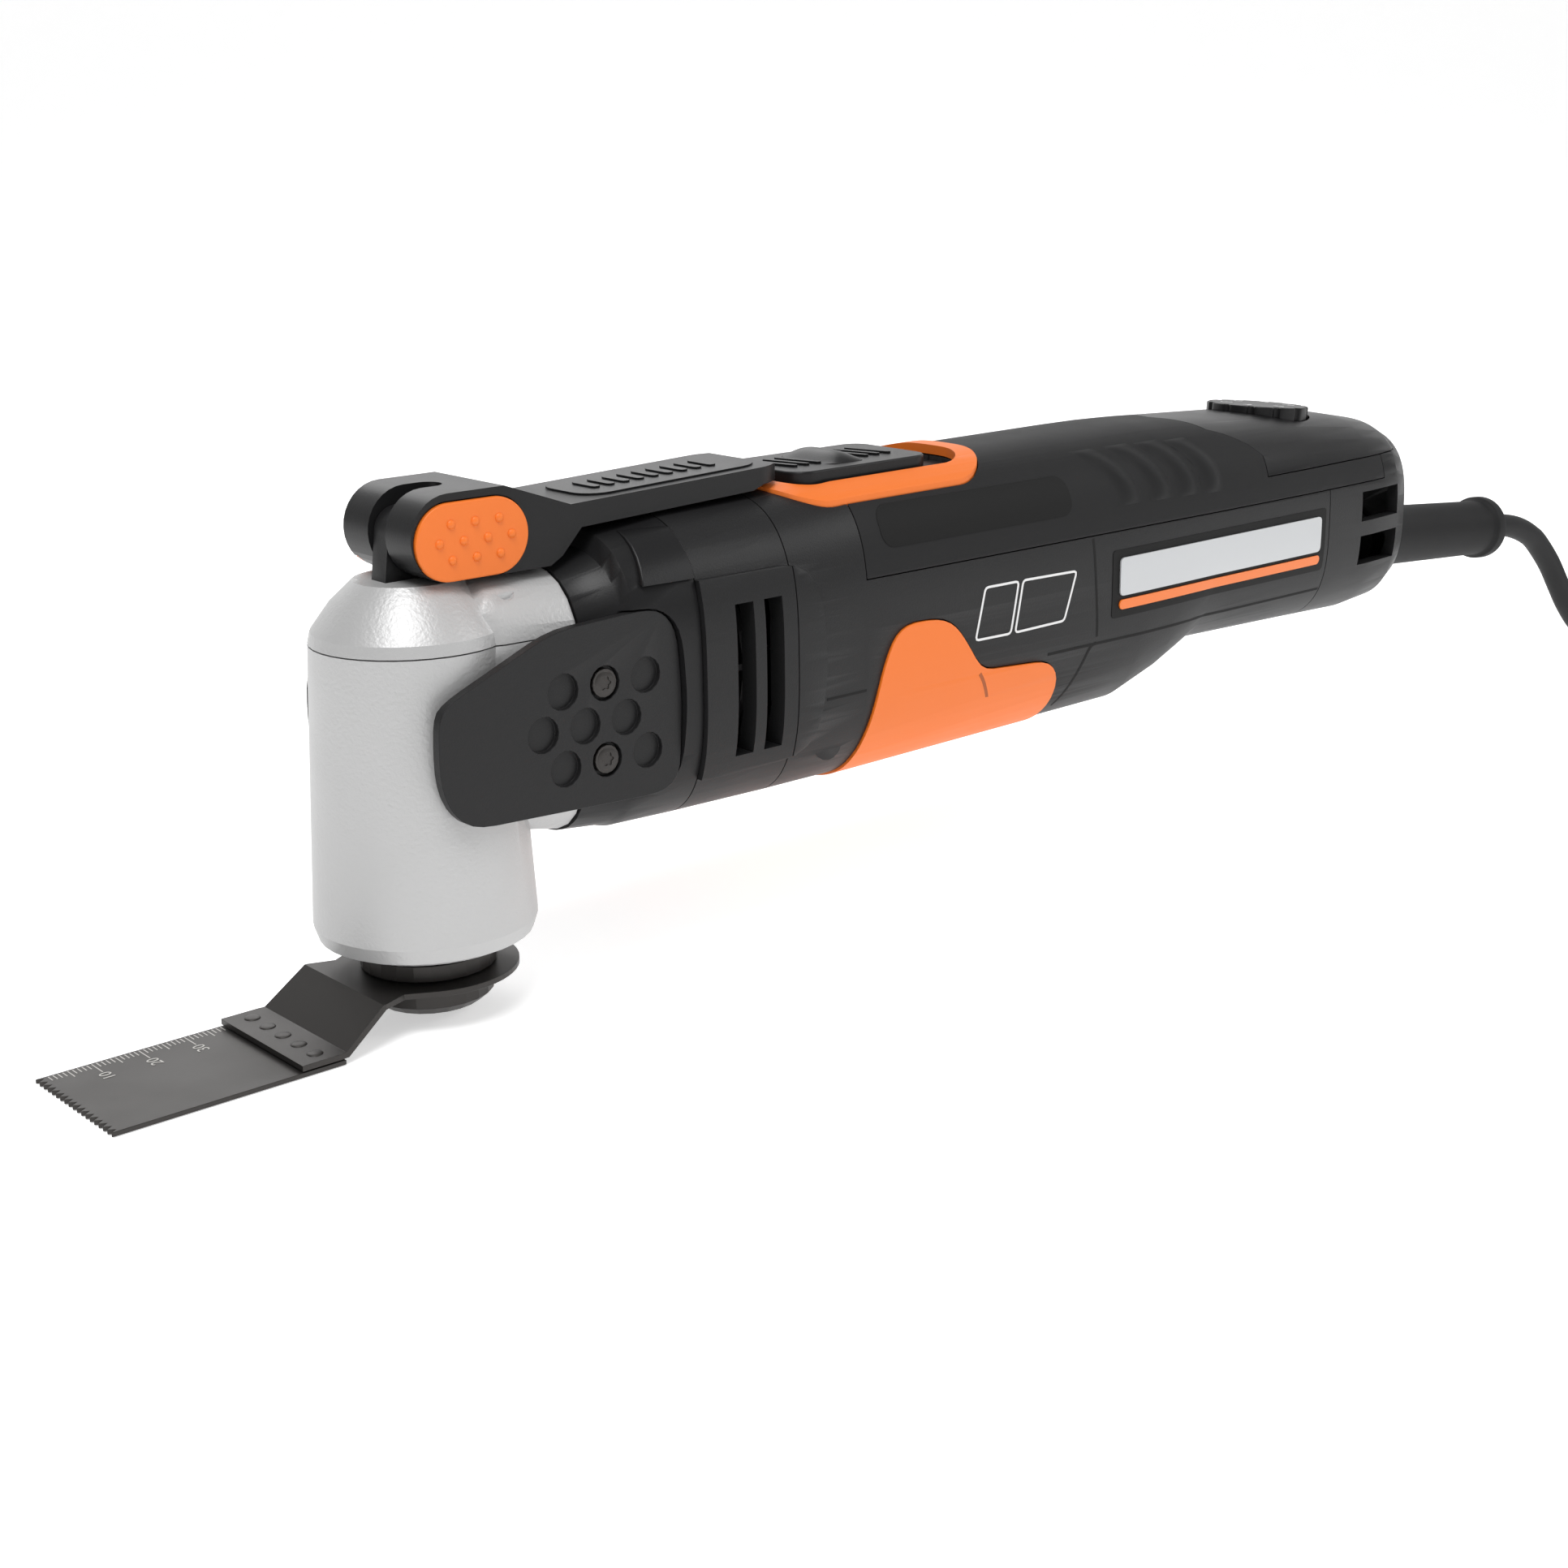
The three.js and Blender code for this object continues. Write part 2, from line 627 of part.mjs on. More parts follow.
add("soft_grip", softGrip(), SOFT_BLACK);
add("dial_cover", dialCover(), BLACK);
add("switch_ring", switchRing(), ORANGE);
add("belly_pad_left", bellyPads().intersect(FAR_HALF), ORANGE);
add("belly_pad_right", bellyPads().intersect(NEAR_HALF), ORANGE);

// ---- Housing halves and rear cover ----
const BOSSES = [[92, 44], [206, 60]]; // housing screws, X and Z
const BOSS_R = 4.2;
const SCREW_R = 1.8;
const SCREW_HEAD_R = 3.5;
const SCREW_HEAD_Y = 23.2;
const BED = SKIN + GAP;
const RIB_TOP_Z = 86; // the switch module runs over the ribs

// The shell's outside, with the beds of the overlays sunk into it.
function beddedBody(span) {
  const beds = loft(BODY, [RING_END_X, FAR], -1).subtract(loft(BODY, [0, FAR], BED));
  const marks = GRIP_BED.add(upZ(ringPlan(RING_BAR + GAP), [80, FAR]))
    .add(bellyBlock(GAP))
    .add(dialCoverBlock(GAP).intersect(box([0, 306 + GAP], [-FAR, FAR], [0, FAR])));
  return loft(BODY, span).subtract(beds.intersect(marks));
}

function housing() {
  const span = [RING_END_X + GAP / 2, REAR_SEAM_X - GAP / 2];
  const hollow = loft(BODY, [0, FAR], WALL, 16);
  let made = beddedBody(span).add(sidePanels(span)).subtract(hollow);
  const deck = box([SWITCH_PLAN[0][0] - 2, SWITCH_PLAN[0][1] + 2], [-16, 16], [DECK_Z - 2.4, FAR]);
  made = made.add(loft(BODY, span, BED).intersect(deck));
  made = made.subtract(upZ(ringPlan(0), [DECK_Z, FAR]));
  const stemSlot = [SWITCH_FRONT_X + 10, SWITCH_FRONT_X + 31 + SWITCH_TRAVEL];
  made = made.subtract(box(stemSlot, [-4.6, 4.6], [60, FAR]));
  const ribs = [[STATOR_X[0], STATOR_X[0] + 4, STATOR_R], [STATOR_X[1] - 4, STATOR_X[1], STATOR_R],
    [REAR_BEARING_X[0] - 1, REAR_BEARING_X[1] + 1, REAR_BEARING_R]];
  ribs.forEach(([from, to, radius]) => {
    const wall = bearingWall([from, to], radius, BED + 1);
    made = made.add(wall.subtract(box([0, FAR], [-FAR, FAR], [RIB_TOP_Z, FAR])));
  });
  made = made.subtract(DIAL_WELL);
  BOSSES.forEach(([x, z]) => {
    made = made.add(rod("y", BOSS_R, [-23, 23], [x, 0, z], 16));
    made = made.subtract(rod("y", SCREW_R + GAP, [-16, FAR], [x, 0, z], 10));
    made = made.subtract(rod("y", SCREW_HEAD_R + GAP, [SCREW_HEAD_Y - 1, FAR], [x, 0, z], 16));
  });
  return made;
}

function housingScrew([x, z]) {
  const head = rod("y", SCREW_HEAD_R, [SCREW_HEAD_Y - 1 + GAP, SCREW_HEAD_Y + 1.2], [x, 0, z], 16);
  const shank = rod("y", SCREW_R, [-15, SCREW_HEAD_Y], [x, 0, z], 12);
  return head.add(shank);
}

function alongBoot(made) {
  return made.rotate([0, BOOT_DROOP, 0]).translate([BODY_END_X, 0, BOOT_Z]);
}

function rearCover() {
  const shell = beddedBody([REAR_SEAM_X + GAP / 2, BODY_END_X]);
  const hollow = loft(BODY, [0, BODY_END_X - WALL - 1], WALL, 16);
  let made = shell.subtract(hollow);
  made = made.add(alongBoot(rod("x", BOOT_R + 2, [-6, NOSE_LENGTH], [0, 0, 0])));
  made = made.subtract(alongBoot(rod("x", BOOT_R + GAP, [-20, 20], [0, 0, 0])));
  made = made.subtract(DIAL_WELL);
  [57, 69].forEach((z) => {
    const slot = box([285, 303], [-FAR, FAR], [z, z + 8]).subtract(box([0, FAR], [-17, 17], [0, FAR]));
    made = made.subtract(slot);
  });
  return made;
}

const SHELL = housing();
add("housing_left", SHELL.intersect(FAR_HALF), BLACK);
add("housing_right", SHELL.intersect(NEAR_HALF), BLACK);
add("rear_cover", rearCover(), BLACK);
BOSSES.forEach((place, i) => add(`housing_screw_${i === 0 ? "front" : "rear"}`, housingScrew(place), DARK_STEEL));

// ---- Motor: still parts ----
const WINDING_X = [STATOR_X[0] - 7, STATOR_X[1] + 7];
const WINDING_HALF = 10;
const WINDING_BAR = 4;
function fieldCoil(side, margin = 0) {
  const level = AXIS_Z + side * 17;
  const z = [level - 2 - margin, level + 2 + margin];
  const half = WINDING_HALF + margin;
  const frame = box([WINDING_X[0] - margin, WINDING_X[1] + margin], [-half, half], z);
  const inner = half - WINDING_BAR - 2 * margin;
  const ends = [WINDING_X[0] + WINDING_BAR + margin, WINDING_X[1] - WINDING_BAR - margin];
  return frame.subtract(box(ends, [-inner, inner], [0, FAR]));
}

function statorCore() {
  const ring = sleeve("x", ARMATURE_R + 0.7, STATOR_R, STATOR_X, [0, 0, AXIS_Z]);
  return ring.subtract(fieldCoil(1, GAP)).subtract(fieldCoil(-1, GAP));
}

const BRUSH_X = (COMMUTATOR_X[0] + COMMUTATOR_X[1]) / 2;
const BRUSH_HALF = 3.2;
function carbonBrush() {
  const x = [BRUSH_X - BRUSH_HALF, BRUSH_X + BRUSH_HALF];
  return box(x, [COMMUTATOR_R + GAP, 18], [AXIS_Z - BRUSH_HALF, AXIS_Z + BRUSH_HALF]);
}
function brushHolder() {
  const wide = BRUSH_HALF + 2;
  const slim = BRUSH_HALF + GAP;
  const block = box([BRUSH_X - wide, BRUSH_X + wide], [11, 22], [AXIS_Z - wide, AXIS_Z + wide]);
  return block.subtract(box([BRUSH_X - slim, BRUSH_X + slim], [0, 18 + GAP], [AXIS_Z - slim, AXIS_Z + slim]));
}

add("stator_core", statorCore(), STEEL);
add("field_coil_upper", fieldCoil(1), COPPER);
add("field_coil_lower", fieldCoil(-1), COPPER);
add("carbon_brush_left", carbonBrush(), CARBON);
add("carbon_brush_right", mirrored(carbonBrush()), CARBON);
add("brush_holder_left", brushHolder(), BLACK);
add("brush_holder_right", mirrored(brushHolder()), BLACK);
add("front_motor_bearing",
  sleeve("x", SHAFT_R + GAP, FRONT_BEARING_R, FRONT_BEARING_X, [0, 0, AXIS_Z]), STEEL);
add("rear_motor_bearing",
  sleeve("x", SHAFT_R + GAP, REAR_BEARING_R, REAR_BEARING_X, [0, 0, AXIS_Z]), STEEL);
add("switch_module", box([98, 134], [-8, 8], [86.5, DECK_Z - 2.4 - GAP]), BLACK);
function controlBoard() {
  const board = box([222, DIAL_X + 10], [-14, 14], [76, 78]);
  const dialPost = rod("z", 3, [77, 91], [DIAL_X, 0, 0], 16);
  const parts = box([228, 250], [-10, 8], [77, 84]);
  return board.add(parts).add(dialPost);
}
add("speed_control_board", controlBoard(), BOARD);

// ---- Motor: turning parts ----
function motorShaft() {
  const main = rod("x", SHAFT_R, [ECCENTRIC_X[1] + 2, REAR_BEARING_X[1] + 3], [0, 0, AXIS_Z]);
  const crank = rod("x", SHAFT_R - 0.4, [ECCENTRIC_X[0] - 2, ECCENTRIC_X[1] + 4], [0, ECCENTRICITY, AXIS_Z]);
  return main.add(crank);
}

function fan() {
  let made = sleeve("x", SHAFT_R + GAP, 7, [FAN_X, FAN_X + 11], [0, 0, AXIS_Z]);
  made = made.add(sleeve("x", SHAFT_R + GAP, FAN_R, [FAN_X + 8.5, FAN_X + 11], [0, 0, AXIS_Z]));
  const count = 8;
  for (let i = 0; i < count; i += 1) {
    const blade = box([FAN_X + 1, FAN_X + 9], [6, FAN_R - 0.5], [-0.7, 0.7]);
    made = made.add(blade.rotate([(360 * i) / count, 0, 0]).translate([0, 0, AXIS_Z]));
  }
  return made;
}

add("motor_shaft", motorShaft(), STEEL);
add("eccentric_bearing",
  sleeve("x", SHAFT_R - 0.4 + GAP, 7, ECCENTRIC_X, [0, ECCENTRICITY, AXIS_Z]), STEEL);
add("armature",
  sleeve("x", SHAFT_R + GAP, ARMATURE_R, [STATOR_X[0] - 3, STATOR_X[1] + 3], [0, 0, AXIS_Z]), COPPER);
add("commutator", sleeve("x", SHAFT_R + GAP, COMMUTATOR_R, COMMUTATOR_X, [0, 0, AXIS_Z]), COPPER);
add("fan", fan(), BLACK);

// ---- Spindle, fork, tool holder and blade ----
const HOLDER_TOP_Z = 20.8;
const MOUNT_HOLE_R = 4.6;
const FLANGE_TOP_Z = MOUNT_TOP_Z - MOUNT_THICKNESS - GAP;
const ROD_TOP_Z = CAP_TOP_Z - 2.2;
const SPRING_R = ROD_R + 1.2;
const SPRING_Z = [40, 74];
const SPINDLE_TOP_Z = UPPER_BEARING_Z[1] - GAP;
add("spindle",
  sleeve("z", ROD_R + 2 * GAP, SPINDLE_R, [HOLDER_TOP_Z + GAP, SPINDLE_TOP_Z], [0, 0, 0])
    .subtract(rod("z", SPRING_R + GAP, [SPRING_Z[0] - GAP, FAR], [0, 0, 0])), STEEL);

function oscillatingFork() {
  const z = [AXIS_Z - 6, AXIS_Z + 6];
  const hub = sleeve("z", SPINDLE_R + GAP, 10.5, z, [0, 0, 0]);
  const slot = 8.7;
  const arms = box([0, ECCENTRIC_X[1] + 1], [-12.2, 12.2], z)
    .subtract(box([-FAR, FAR], [-slot, slot], [0, FAR]));
  return hub.add(arms.subtract(rod("z", SPINDLE_R + GAP, [0, FAR], [0, 0, 0])));
}
add("oscillating_fork", oscillatingFork(), STEEL);

const HOLDER_BASE_Z = MOUNT_TOP_Z + GAP;
add("tool_holder", turned([
  [ROD_R + 2 * GAP, HOLDER_BASE_Z],
  [HOLDER_R, HOLDER_BASE_Z],
  [HOLDER_R, HEAD_BOTTOM_Z - 2.2],
  [SPINDLE_R + 2.6, HEAD_BOTTOM_Z - 1],
  [SPINDLE_R + 2.6, HOLDER_TOP_Z],
  [ROD_R + 2 * GAP, HOLDER_TOP_Z],
]), DARK_STEEL);

// The cranked sheet that the blade is welded to: its side view, cut to its plan.
function bladeMount() {
  const half = BLADE_WIDTH / 2;
  const low = BLADE_THICKNESS + GAP;
  const high = MOUNT_TOP_Z - MOUNT_THICKNESS;
  const side = polygon([
    [MOUNT_FRONT_X, low],
    [FOLD_LOW_X, low],
    [FOLD_HIGH_X, high],
    [MOUNT_TAIL_R + 1, high],
    [MOUNT_TAIL_R + 1, MOUNT_TOP_Z],
    [FOLD_HIGH_X - 0.6, MOUNT_TOP_Z],
    [FOLD_LOW_X - 0.6, low + MOUNT_THICKNESS],
    [MOUNT_FRONT_X, low + MOUNT_THICKNESS],
  ]);
  const crank = CRANK_WIDTH / 2;
  const plan = new THREE.Shape();
  plan.moveTo(MOUNT_FRONT_X, -half);
  plan.lineTo(FOLD_LOW_X - 2, -half);
  plan.lineTo(FOLD_HIGH_X, -crank);
  plan.lineTo(-14.5, -13.4);
  const start = Math.atan2(-16.9, -8.2);
  plan.absarc(0, 0, MOUNT_TAIL_R, start, -start);
  plan.lineTo(-14.5, 13.4);
  plan.lineTo(FOLD_HIGH_X, crank);
  plan.lineTo(FOLD_LOW_X - 2, half);
  plan.lineTo(MOUNT_FRONT_X, half);
  plan.closePath();
  return acrossY(side, [-FAR, FAR])
    .intersect(upZ(plan, [-1, 20], 24))
    .subtract(rod("z", MOUNT_HOLE_R, [0, 20], [0, 0, 0]));
}

function sawBlade() {
  const half = BLADE_WIDTH / 2;
  const pitch = BLADE_WIDTH / BLADE_TEETH;
  const points = [[FOLD_LOW_X - 0.8, half]];
  for (let i = 0; i <= BLADE_TEETH; i += 1) {
    const y = half - i * pitch;
    points.push([BLADE_TIP_X, y]);
    if (i < BLADE_TEETH) points.push([BLADE_TIP_X + TOOTH_DEPTH, y - pitch / 2]);
  }
  points.push([FOLD_LOW_X - 0.8, -half]);
  return upZ(polygon(points), [0, BLADE_THICKNESS]);
}
add("blade_mount", bladeMount(), DARK_STEEL);
add("saw_blade", sawBlade(), DARK_STEEL);

// ---- Clamp: a spring in the hollow spindle draws the rod and its flange up ----
add("clamp_rod",
  rod("z", ROD_R, [FLANGE_TOP_Z + GAP, ROD_TOP_Z], [0, 0, 0])
    .add(rod("z", SPRING_R, [SPRING_Z[1] + GAP, SPRING_Z[1] + 3], [0, 0, 0])), STEEL);
add("clamp_spring", sleeve("z", ROD_R + GAP, SPRING_R, SPRING_Z, [0, 0, 0]), STEEL);
add("clamp_flange", turned([
  [0, FLANGE_BOTTOM_Z],
  [FLANGE_R - 2.4, FLANGE_BOTTOM_Z],
  [FLANGE_R, FLANGE_BOTTOM_Z + 2],
  [FLANGE_R, FLANGE_BOTTOM_Z + 5],
  [FLANGE_R - 2, FLANGE_TOP_Z],
  [0, FLANGE_TOP_Z],
]), DARK_STEEL);

// ---- Lever ----
function leverOutline() {
  const shape = new THREE.Shape();
  const bottom = LEVER_PIN_Z - EAR_R;
  shape.absarc(EAR_X, LEVER_PIN_Z, EAR_R, Math.PI / 2, 1.5 * Math.PI);
  shape.lineTo(LEVER_KNEE_X - 3.5, bottom);
  shape.lineTo(LEVER_KNEE_X - 0.5, bottom + 1.7);
  shape.lineTo(LEVER_KNEE_X + 4.5, ARM_FRONT_Z[0]);
  shape.lineTo(LEVER_TIP_X - 11, ARM_TIP_Z[0]);
  shape.lineTo(LEVER_TIP_X - 8, ARM_TIP_Z[0] + 1.1);
  shape.lineTo(LEVER_TIP_X - 1.5, ARM_TIP_Z[0] + 1.4);
  shape.lineTo(LEVER_TIP_X, ARM_TIP_Z[0] + 2.6);
  shape.lineTo(LEVER_TIP_X - 0.6, ARM_TIP_Z[1] - 1.2);
  shape.lineTo(LEVER_TIP_X - 4, ARM_TIP_Z[1]);
  shape.lineTo(LEVER_KNEE_X + 2, ARM_FRONT_Z[1]);
  shape.lineTo(LEVER_KNEE_X - 14, LEVER_PIN_Z + EAR_R);
  shape.closePath();
  return shape;
}

function padOutline(margin) {
  const [x, z] = PAD_CENTRE;
  const [half, r] = [PAD_LENGTH / 2, PAD_HEIGHT / 2];
  return rounded([x - half, x + half], [z - r, z + r], r - 0.01, margin);
}

function lever() {
  const half = LEVER_HALF_WIDTH;
  const plan = rounded([-EAR_R - 20, LEVER_TIP_X], [-half, half], 9);
  const fork = rounded([-40, 9], [-LEVER_SLOT / 2, LEVER_SLOT / 2], LEVER_SLOT / 2 - 0.01);
  let made = acrossY(leverOutline(), [-half, half]).intersect(upZ(plan, [50, 150]));
  made = made.subtract(upZ(fork, [50, 150]));
  const pocket = acrossY(padOutline(GAP), [half - 1.2, FAR]);
  made = made.subtract(pocket).subtract(mirrored(pocket));
  return made.subtract(rod("y", LEVER_PIN_R + GAP, [-FAR, FAR], [0, 0, LEVER_PIN_Z], 16));
}

function leverPad() {
  const half = LEVER_HALF_WIDTH;
  return acrossY(padOutline(0), [half - 1.2 + GAP, half + PAD_PROUD]);
}
add("lever", lever(), BLACK);
add("lever_pad_left", leverPad(), ORANGE);
add("lever_pad_right", mirrored(leverPad()), ORANGE);
const PIN_HALF = LEVER_HALF_WIDTH - 1.2 - GAP;
add("lever_pin", rod("y", LEVER_PIN_R, [-PIN_HALF, PIN_HALF], [0, 0, LEVER_PIN_Z], 16), STEEL);

// ---- Slide switch and speed dial ----
function slideSwitch() {
  const x = [SWITCH_FRONT_X, SWITCH_FRONT_X + SWITCH_LENGTH];
  const plate = upZ(rounded(x, [-SWITCH_HALF_WIDTH, SWITCH_HALF_WIDTH], 5), [SWITCH_BASE_Z, SWITCH_TOP_Z]);
  const stem = box([x[0] + 12, x[0] + 28], [-4, 4], [DECK_Z - 2.2, SWITCH_BASE_Z + 1]);
  return plate.add(stem);
}
add("slide_switch", slideSwitch(), BLACK);

function speedDial() {
  let made = rod("z", DIAL_R, [-DIAL_THICKNESS, 0], [0, 0, 0], 36);
  const notches = 12;
  for (let i = 0; i < notches; i += 1) {
    const groove = rod("z", 1.1, [-FAR, FAR], [DIAL_R, 0, 0], 8);
    made = made.subtract(groove.rotate([0, 0, (360 * i) / notches]));
  }
  return dialPlaced(made);
}
add("speed_dial", speedDial(), BLACK);

// ---- Strain relief, lead, hank and plug ----
add("cord_boot", alongBoot(turned([
  [CORD_R + GAP, -6],
  [BOOT_R, -6],
  [BOOT_R - 0.7, BOOT_LENGTH - 6],
  [BOOT_R + 0.5, BOOT_LENGTH - 4.5],
  [BOOT_R + 0.5, BOOT_LENGTH - 1],
  [BOOT_RIM_R, BOOT_LENGTH],
  [CORD_R + GAP, BOOT_LENGTH],
], "x", [0, 0, 0], 24)), SOFT_BLACK);

// The spare lead is folded to and fro into a flat hank in line with the tool.
const HANK_HALF_BAND = (HANK_COLUMNS * TURN_PITCH) / 2;
const HANK_OUTER_R = HANK_FOLD_R + HANK_HALF_BAND;
const HANK_INNER_R = HANK_FOLD_R - HANK_HALF_BAND;
const HANK_TOP_Z = HANK_BASE_Z + HANK_LAYERS * TURN_PITCH;
const PLUG_AXIS_Z = HANK_TOP_Z + GAP + PLUG_HEIGHT / 2;

function hankOutline(radius) {
  const ends = [HANK_RUN_X[0] - radius, HANK_RUN_X[1] + radius];
  return rounded(ends, [-radius, radius], radius - 0.01);
}

// The lead leaves the boot, comes down to the surface and bends aside into the hank's lowest outer run.
const LEAD = [
  [383.1, 0, 51.8], [387.5, 0, 51.45], [392, 0, 51.1], [398, 0, 50.2], [403.9, 0, 48.5], [409.3, 0, 46.2],
  [414.3, 0, 43.1], [422.9, 0, 35.2], [429.3, 0, 27.5], [435.7, 0, 19.9], [444.4, 0, 12], [454.8, 0, 6.5],
  [463, -0.6, 4.4], [472, -3.2, 3.9], [481, -8.3, 3.9], [490, -15.6, 4], [499, -22.6, 4.4], [508, -27, 4.8],
  [517, -28.4, 5],
];
// Its other end rises off the highest inner run to the plug, which lies on the hank.
const TAIL = [
  [652, 21, 19.8], [644, 20.8, 20.4], [636, 19.8, 22.4], [628, 18, 25.3], [620, 15.8, 28.4], [612, 13.6, 30.6],
  [604, 12.4, 31.6], [596, 12, 31.8], [588.3, 12, 31.8],
];
const hankCut = upZ(hankOutline(HANK_OUTER_R + GAP), [-50, HANK_TOP_Z + GAP], 10);
add("cord_lead", tube(LEAD, CORD_R, 13).subtract(hankCut), BLACK);
add("cord_tail", tube(TAIL, CORD_R, 8).subtract(hankCut), BLACK);
add("cord_hank", upZ(hankOutline(HANK_OUTER_R), [HANK_BASE_Z, HANK_TOP_Z], 10)
  .subtract(upZ(hankOutline(HANK_INNER_R), [-50, 50], 6)), BLACK);

const TIE_THICKNESS = 1;
const TIE_HALF_WIDTH = 4;
function cordTie() {
  const x = [TIE_X - TIE_HALF_WIDTH, TIE_X + TIE_HALF_WIDTH];
  const half = HANK_OUTER_R + GAP;
  const [low, high] = [HANK_BASE_Z - GAP, HANK_TOP_Z + GAP];
  const outer = half + TIE_THICKNESS;
  const outside = box(x, [-outer, outer], [low - TIE_THICKNESS, high + TIE_THICKNESS]);
  return outside.subtract(box([x[0] - 1, x[1] + 1], [-half, half], [low, high]));
}

function plugBody() {
  const neck = CORD_R + 2.5;
  const shoulder = PLUG_X - PLUG_LENGTH * 0.45;
  const plan = polygon([
    [PLUG_X, -neck],
    [PLUG_X, neck],
    [shoulder, PLUG_HALF_WIDTH],
    [PLUG_X - PLUG_LENGTH, PLUG_HALF_WIDTH],
    [PLUG_X - PLUG_LENGTH, -PLUG_HALF_WIDTH],
    [shoulder, -PLUG_HALF_WIDTH],
  ]);
  const height = PLUG_HEIGHT / 2;
  const side = rounded([PLUG_X - PLUG_LENGTH - 10, PLUG_X], [PLUG_AXIS_Z - height, PLUG_AXIS_Z + height], 4);
  return upZ(plan, [-1, 40]).intersect(acrossY(side, [-40, 40])).translate([0, PLUG_Y, 0]);
}
add("cord_tie", cordTie(), SOFT_BLACK);
add("plug_body", plugBody(), BLACK);
[["left", 1], ["right", -1]].forEach(([name, side]) => {
  const y = PLUG_Y + (side * PLUG_PIN_SPACING) / 2;
  const face = PLUG_X - PLUG_LENGTH - GAP;
  add(`plug_pin_${name}`, rod("x", PLUG_PIN_R, [face - PLUG_PIN_LENGTH, face], [0, y, PLUG_AXIS_Z], 12), BRIGHT);
});

export default tool;
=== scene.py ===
# %% [markdown]
# # A corded oscillating multi tool
#
# The real tool is an upright cast gear head with a long plastic body behind it. A quick-release lever lies on
# top, a cranked saw blade is clamped below, and a rubber-covered lead comes out of the back. Its working parts
# already exist as CAD solids, each on the body that it moves with. This lesson gives those solids their
# finish, replaces the faceted shells by smooth ones, and adds the small trim that a plain solid lacks.

# %% Load the frame
import json
import math

import bmesh
import bpy
import numpy as np
from mathutils import Matrix, Vector


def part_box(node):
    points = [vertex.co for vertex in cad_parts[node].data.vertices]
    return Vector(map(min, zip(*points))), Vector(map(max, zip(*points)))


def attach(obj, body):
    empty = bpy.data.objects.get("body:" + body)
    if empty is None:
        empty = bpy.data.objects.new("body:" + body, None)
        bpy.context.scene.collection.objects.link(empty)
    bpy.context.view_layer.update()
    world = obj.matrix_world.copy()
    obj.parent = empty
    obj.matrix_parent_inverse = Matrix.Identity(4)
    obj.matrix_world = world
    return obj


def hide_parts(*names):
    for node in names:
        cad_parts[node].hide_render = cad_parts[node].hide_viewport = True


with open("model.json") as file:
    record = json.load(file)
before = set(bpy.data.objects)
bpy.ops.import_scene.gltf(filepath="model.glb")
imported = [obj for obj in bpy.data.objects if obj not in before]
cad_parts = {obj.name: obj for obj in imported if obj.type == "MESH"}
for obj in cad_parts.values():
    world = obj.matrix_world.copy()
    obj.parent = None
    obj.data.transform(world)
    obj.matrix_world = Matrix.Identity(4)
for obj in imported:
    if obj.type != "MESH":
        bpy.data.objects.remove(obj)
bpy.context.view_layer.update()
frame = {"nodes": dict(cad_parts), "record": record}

nodes = frame["nodes"]
MM = 0.001
spindle_low, spindle_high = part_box("spindle")
SPINDLE_X = (spindle_low.x + spindle_high.x) / 2
print("nodes", len(nodes), "spindle axis at x =", round(SPINDLE_X, 4))


def place(points):
    """Points in millimetres from the spindle axis, as metres in the object's own frame."""
    out = np.asarray(points, float) * MM
    out[..., 0] += SPINDLE_X
    return out


# %% [markdown]
# ## Camera
#
# The camera comes first, because everything else is seen through it. It could be aimed by a constraint, but
# a plain matrix is easier to read: its columns are the camera's right, its up, and the way back towards it.

# %% Camera
CAMERA_AT = (-242.81, -395.56, 182.85)
CAMERA_RIGHT = Vector((0.7542, -0.6565, -0.0133)).normalized()
CAMERA_BACK = Vector((-0.6266, -0.7256, 0.2846)).normalized()
camera_up = CAMERA_BACK.cross(CAMERA_RIGHT).normalized()
camera = bpy.data.objects.new("camera", bpy.data.cameras.new("camera"))
bpy.context.scene.collection.objects.link(camera)
turn = Matrix((CAMERA_RIGHT, camera_up, CAMERA_BACK)).transposed()
camera.matrix_world = Matrix.Translation(Vector(place(CAMERA_AT))) @ turn.to_4x4()
camera.data.sensor_width = 36
camera.data.lens = 53.59
camera.data.clip_start = 0.01
bpy.context.scene.camera = camera
print("camera at", [round(v, 3) for v in camera.location])


# %% [markdown]
# ## Finishes
#
# Every finish is procedural. The castings have the orange-peel of a die, the black plastic has a spark-eroded
# grain and the steel is ground, and each of these is a fine noise that only tilts the surface. They read
# Object coordinates, so the grain stays on a piece when the piece moves.

